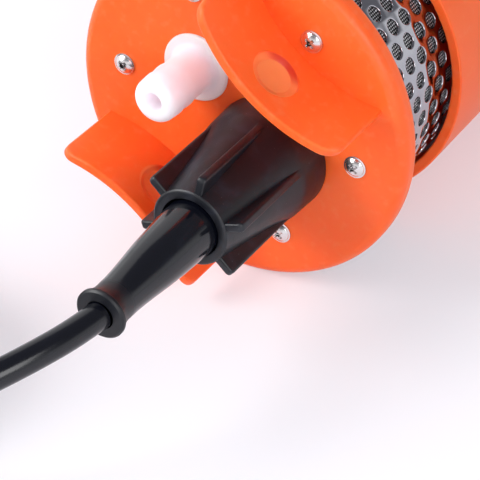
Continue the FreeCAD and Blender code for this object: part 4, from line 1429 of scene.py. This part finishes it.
@dataclass
class HoseTail:
    """The barbed outlet tail with its round-edged flange and sealed spigot."""

    layout: Layout
    middle: Tuple[float, float] = (-13.34, 10.90)
    bore: float = 2.73
    mouth: float = 0.5
    root: float = 6.45
    lip: float = 0.1
    tip: float = -22.2
    tip_round: float = 2.2
    barbs: int = 2
    barb: float = 0.3
    barb_pitch: float = 5.0
    # How far before its end a barb reaches full height, and where its crest stops.
    barb_crest: Tuple[float, float] = (2.2, 1.2)
    flange: float = 10.24
    proud: float = 0.8
    fillet: float = 2.0
    seat: float = 2.6
    spigot: float = 8.0
    spigot_end: float = 27.5
    groove: float = 6.0
    groove_start: float = 23.5
    groove_end: float = 26.3
    steps: int = 96

    def profile(self) -> Outline:
        """Outline of the tail from the bore's mouth round the outside to its far end.

        Returns:
            Radius and station of each point.
        """
        points = [(self.bore, self.tip + self.mouth),
                  (self.bore + 0.3 * self.mouth, self.tip + 0.3 * self.mouth),
                  (self.bore + self.mouth, self.tip)]
        points += [(self.root + self.lip - self.tip_round * (1 - s),
                    self.tip + self.tip_round * (1 - c)) for s, c in quarter(9)]
        end = self.tip + self.tip_round
        for _ in range(self.barbs):
            end += self.barb_pitch
            points += [(self.root + self.barb, end - before) for before in self.barb_crest]
            points.append((self.root, end))
        points += [(self.root + self.fillet * (1 - c), -self.proud - self.fillet * (1 - s))
                   for s, c in quarter(9)]
        points += [(self.flange - self.proud * (1 - s), -self.proud * c)
                   for s, c in quarter(6)]
        return points + [(self.flange, self.seat), (self.spigot, self.seat),
                         (self.spigot, self.groove_start), (self.groove, self.groove_start),
                         (self.groove, self.groove_end), (self.spigot, self.groove_end),
                         (self.spigot, self.spigot_end), (self.bore, self.spigot_end)]

    def build(self, skin: bpy.types.Material) -> None:
        """Make the tail.

        Args:
            skin: Its finish.
        """
        bm = bmesh.new()
        angles = [2 * math.pi * k / self.steps for k in range(self.steps)]
        join_rings(bm, [self.layout.ring(bm, self.middle, station, [(radius, a) for a in angles])
                        for radius, station in self.profile()])
        add_piece("hose_tail", closed_mesh("hose_tail", bm), skin, "pump",
                  ("outlet_nozzle",))


# --------------------------------------------------------------------- the stage


@dataclass
class Studio:
    """Floor, backdrop light, lamps and camera."""

    layout: Layout
    azimuth: float = 30.83
    elevation: float = 35.14
    lens: float = 152.95
    camera_offset: Tuple[float, float, float] = (247.01, -412.57, 295.86)
    floor_size: float = 6.0
    paper: Colour = linear("#EFEEF3")
    # The floor as it is seen: its own light, and a paler shade that takes the shadow.
    floor_light: Colour = (0.9, 0.93, 1.0)
    floor_strength: float = 0.37
    floor_shade: Colour = (0.63, 0.61, 0.64)
    # Metres from the frame's origin over which the floor turns into plain white.
    floor_fades: Tuple[float, float] = (0.35, 1.1)
    white: Colour = (0.97, 0.98, 1.0)
    ambient: float = 0.52
    ambient_tone: Colour = (0.96, 0.97, 1.0)
    ceiling: Colour = (0.2, 0.2, 0.22)
    ceiling_rise: Tuple[float, float] = (0.12, 0.4)

    def camera(self) -> None:
        """Place the camera at its offset from the end cap's face."""
        data = bpy.data.cameras.new("camera")
        data.lens = self.lens
        data.sensor_width = 36.0
        data.clip_start = 0.02
        data.clip_end = 50.0
        obj = bpy.data.objects.new("camera", data)
        bpy.context.scene.collection.objects.link(obj)
        a, e = math.radians(self.azimuth), math.radians(self.elevation)
        back = Vector((math.sin(a) * math.cos(e), -math.cos(a) * math.cos(e), math.sin(e)))
        x, y, z = self.camera_offset
        obj.location = self.layout.at(x, y, z)
        obj.rotation_mode = "QUATERNION"
        obj.rotation_quaternion = (-back).to_track_quat("-Z", "Y")
        bpy.context.scene.camera = obj

    def floor(self) -> None:
        """Pale floor that keeps the pump's soft shadow."""
        half = self.floor_size / 2
        mesh = bpy.data.meshes.new("floor")
        mesh.from_pydata([(-half, -half, 0), (half, -half, 0), (half, half, 0), (-half, half, 0)],
                         [], [(0, 1, 2, 3)])
        obj = bpy.data.objects.new("floor", mesh)
        bpy.context.scene.collection.objects.link(obj)
        g = Graph.named("floor_paper")
        lit = g.node("ShaderNodeBsdfDiffuse", inputs={"Color": self.paper})
        glow = g.node("ShaderNodeEmission", inputs={"Color": self.floor_light,
                                                    "Strength": self.floor_strength})
        shaded = g.node("ShaderNodeBsdfDiffuse", inputs={"Color": self.floor_shade})
        near = g.node("ShaderNodeAddShader", inputs={0: glow, 1: shaded})
        away = g.node("ShaderNodeVectorMath", {"operation": "LENGTH"}, {0: g.place()}, "Value")
        far = g.node("ShaderNodeEmission", inputs={"Color": self.white, "Strength": 1.0})
        backdrop = g.node("ShaderNodeMixShader",
                          inputs={0: away.above(*self.floor_fades), 1: near, 2: far})
        paper = g.node("ShaderNodeMixShader", inputs={0: g.seen(), 1: lit, 2: backdrop})
        g.add("ShaderNodeOutputMaterial", inputs={"Surface": paper})
        mesh.materials.append(g.owner)

    def world(self) -> None:
        """White round the horizon and a dimmer ceiling; plain soft light for the rest."""
        world = bpy.data.worlds.new("studio")
        g = Graph(world)
        _, _, rise = g.parts(g.node("ShaderNodeTexCoord", output="Generated"))
        tone = g.mix(rise.above(*self.ceiling_rise), self.white, self.ceiling)
        soft = g.node("ShaderNodeBackground", inputs={"Color": self.ambient_tone,
                                                      "Strength": self.ambient})
        shown = g.node("ShaderNodeBackground", inputs={"Color": tone, "Strength": 1.0})
        mixed = g.node("ShaderNodeMixShader", inputs={0: g.seen(), 1: soft, 2: shown})
        g.add("ShaderNodeOutputWorld", inputs={"Surface": mixed})
        bpy.context.scene.world = world

    def lamp(self, name: str, station: Tuple[float, float, float], size: Tuple[float, float],
             power: float) -> None:
        """Add a white soft box that faces the end cap.

        Args:
            name: The lamp's name.
            station: Its place in metres from the middle of the end cap's face.
            size: Width and height in metres.
            power: Its power in watts.
        """
        data = bpy.data.lights.new(name, "AREA")
        data.shape = "RECTANGLE"
        data.size, data.size_y = size
        data.energy = power
        obj = bpy.data.objects.new(name, data)
        bpy.context.scene.collection.objects.link(obj)
        target = self.layout.at(0, 0, 0)
        obj.location = target + Vector(station)
        obj.rotation_mode = "QUATERNION"
        obj.rotation_quaternion = (target - obj.location).to_track_quat("-Z", "Y")

    def build(self) -> None:
        """Make the whole studio."""
        self.camera()
        self.floor()
        self.world()
        self.lamp("key_box", (-0.5, -0.45, 0.4), (0.45, 0.45), 5.6)
        self.lamp("fill_box", (0.8, -0.65, 0.55), (0.7, 0.6), 6.2)
        self.lamp("back_box", (-0.55, 0.8, 0.65), (1.0, 0.9), 2.4)
        bpy.context.scene.view_settings.view_transform = "Standard"


# ------------------------------------------------------------------- the assembly


@dataclass
class Pump:
    """The whole pump: dresses the CAD nodes and builds the loose pieces."""

    layout: Layout

    def dress_outside(self) -> None:
        """Finish every CAD piece that shows from outside."""
        orange = MouldedPlastic().material(self.layout)
        for node in ("end_cap", "motor_casing", "base_cap"):
            dress(node, orange)
        boot = GlossJacket("boot_gloss", 0.13, dull_end=(-80.5, -76.0))
        dress("cable_boot", boot.material(self.layout))
        dress("strainer_mesh", FilterWeave().material(self.layout))

    def dress_inside(self) -> None:
        """Finish the pieces inside and the fasteners."""
        for finish, nodes in HIDDEN_PIECES.items():
            material = PLAIN_FINISHES[finish].material()
            for node in nodes:
                dress(node, material)

    def build(self) -> None:
        """Dress and build everything."""
        self.dress_outside()
        self.dress_inside()
        Strainer(self.layout).build(PolishedSheet().material(self.layout))
        GlandNut(self.layout).build(MattNylon().material())
        HoseTail(self.layout).build(MilkyPlastic().material())
        Cable(self.layout).build(GlossJacket("cable_gloss", 0.2).material(self.layout),
                                 GlossJacket("plug_gloss", 0.34).material(self.layout),
                                 PLAIN_FINISHES["black_nylon"].material())


def main() -> None:
    """Build the studio and the pump."""
    logging.basicConfig(level=logging.INFO, format="%(name)s: %(message)s")
    layout = Layout.measured()
    Studio(layout).build()
    Pump(layout).build()


if __name__ == "__main__":
    main()
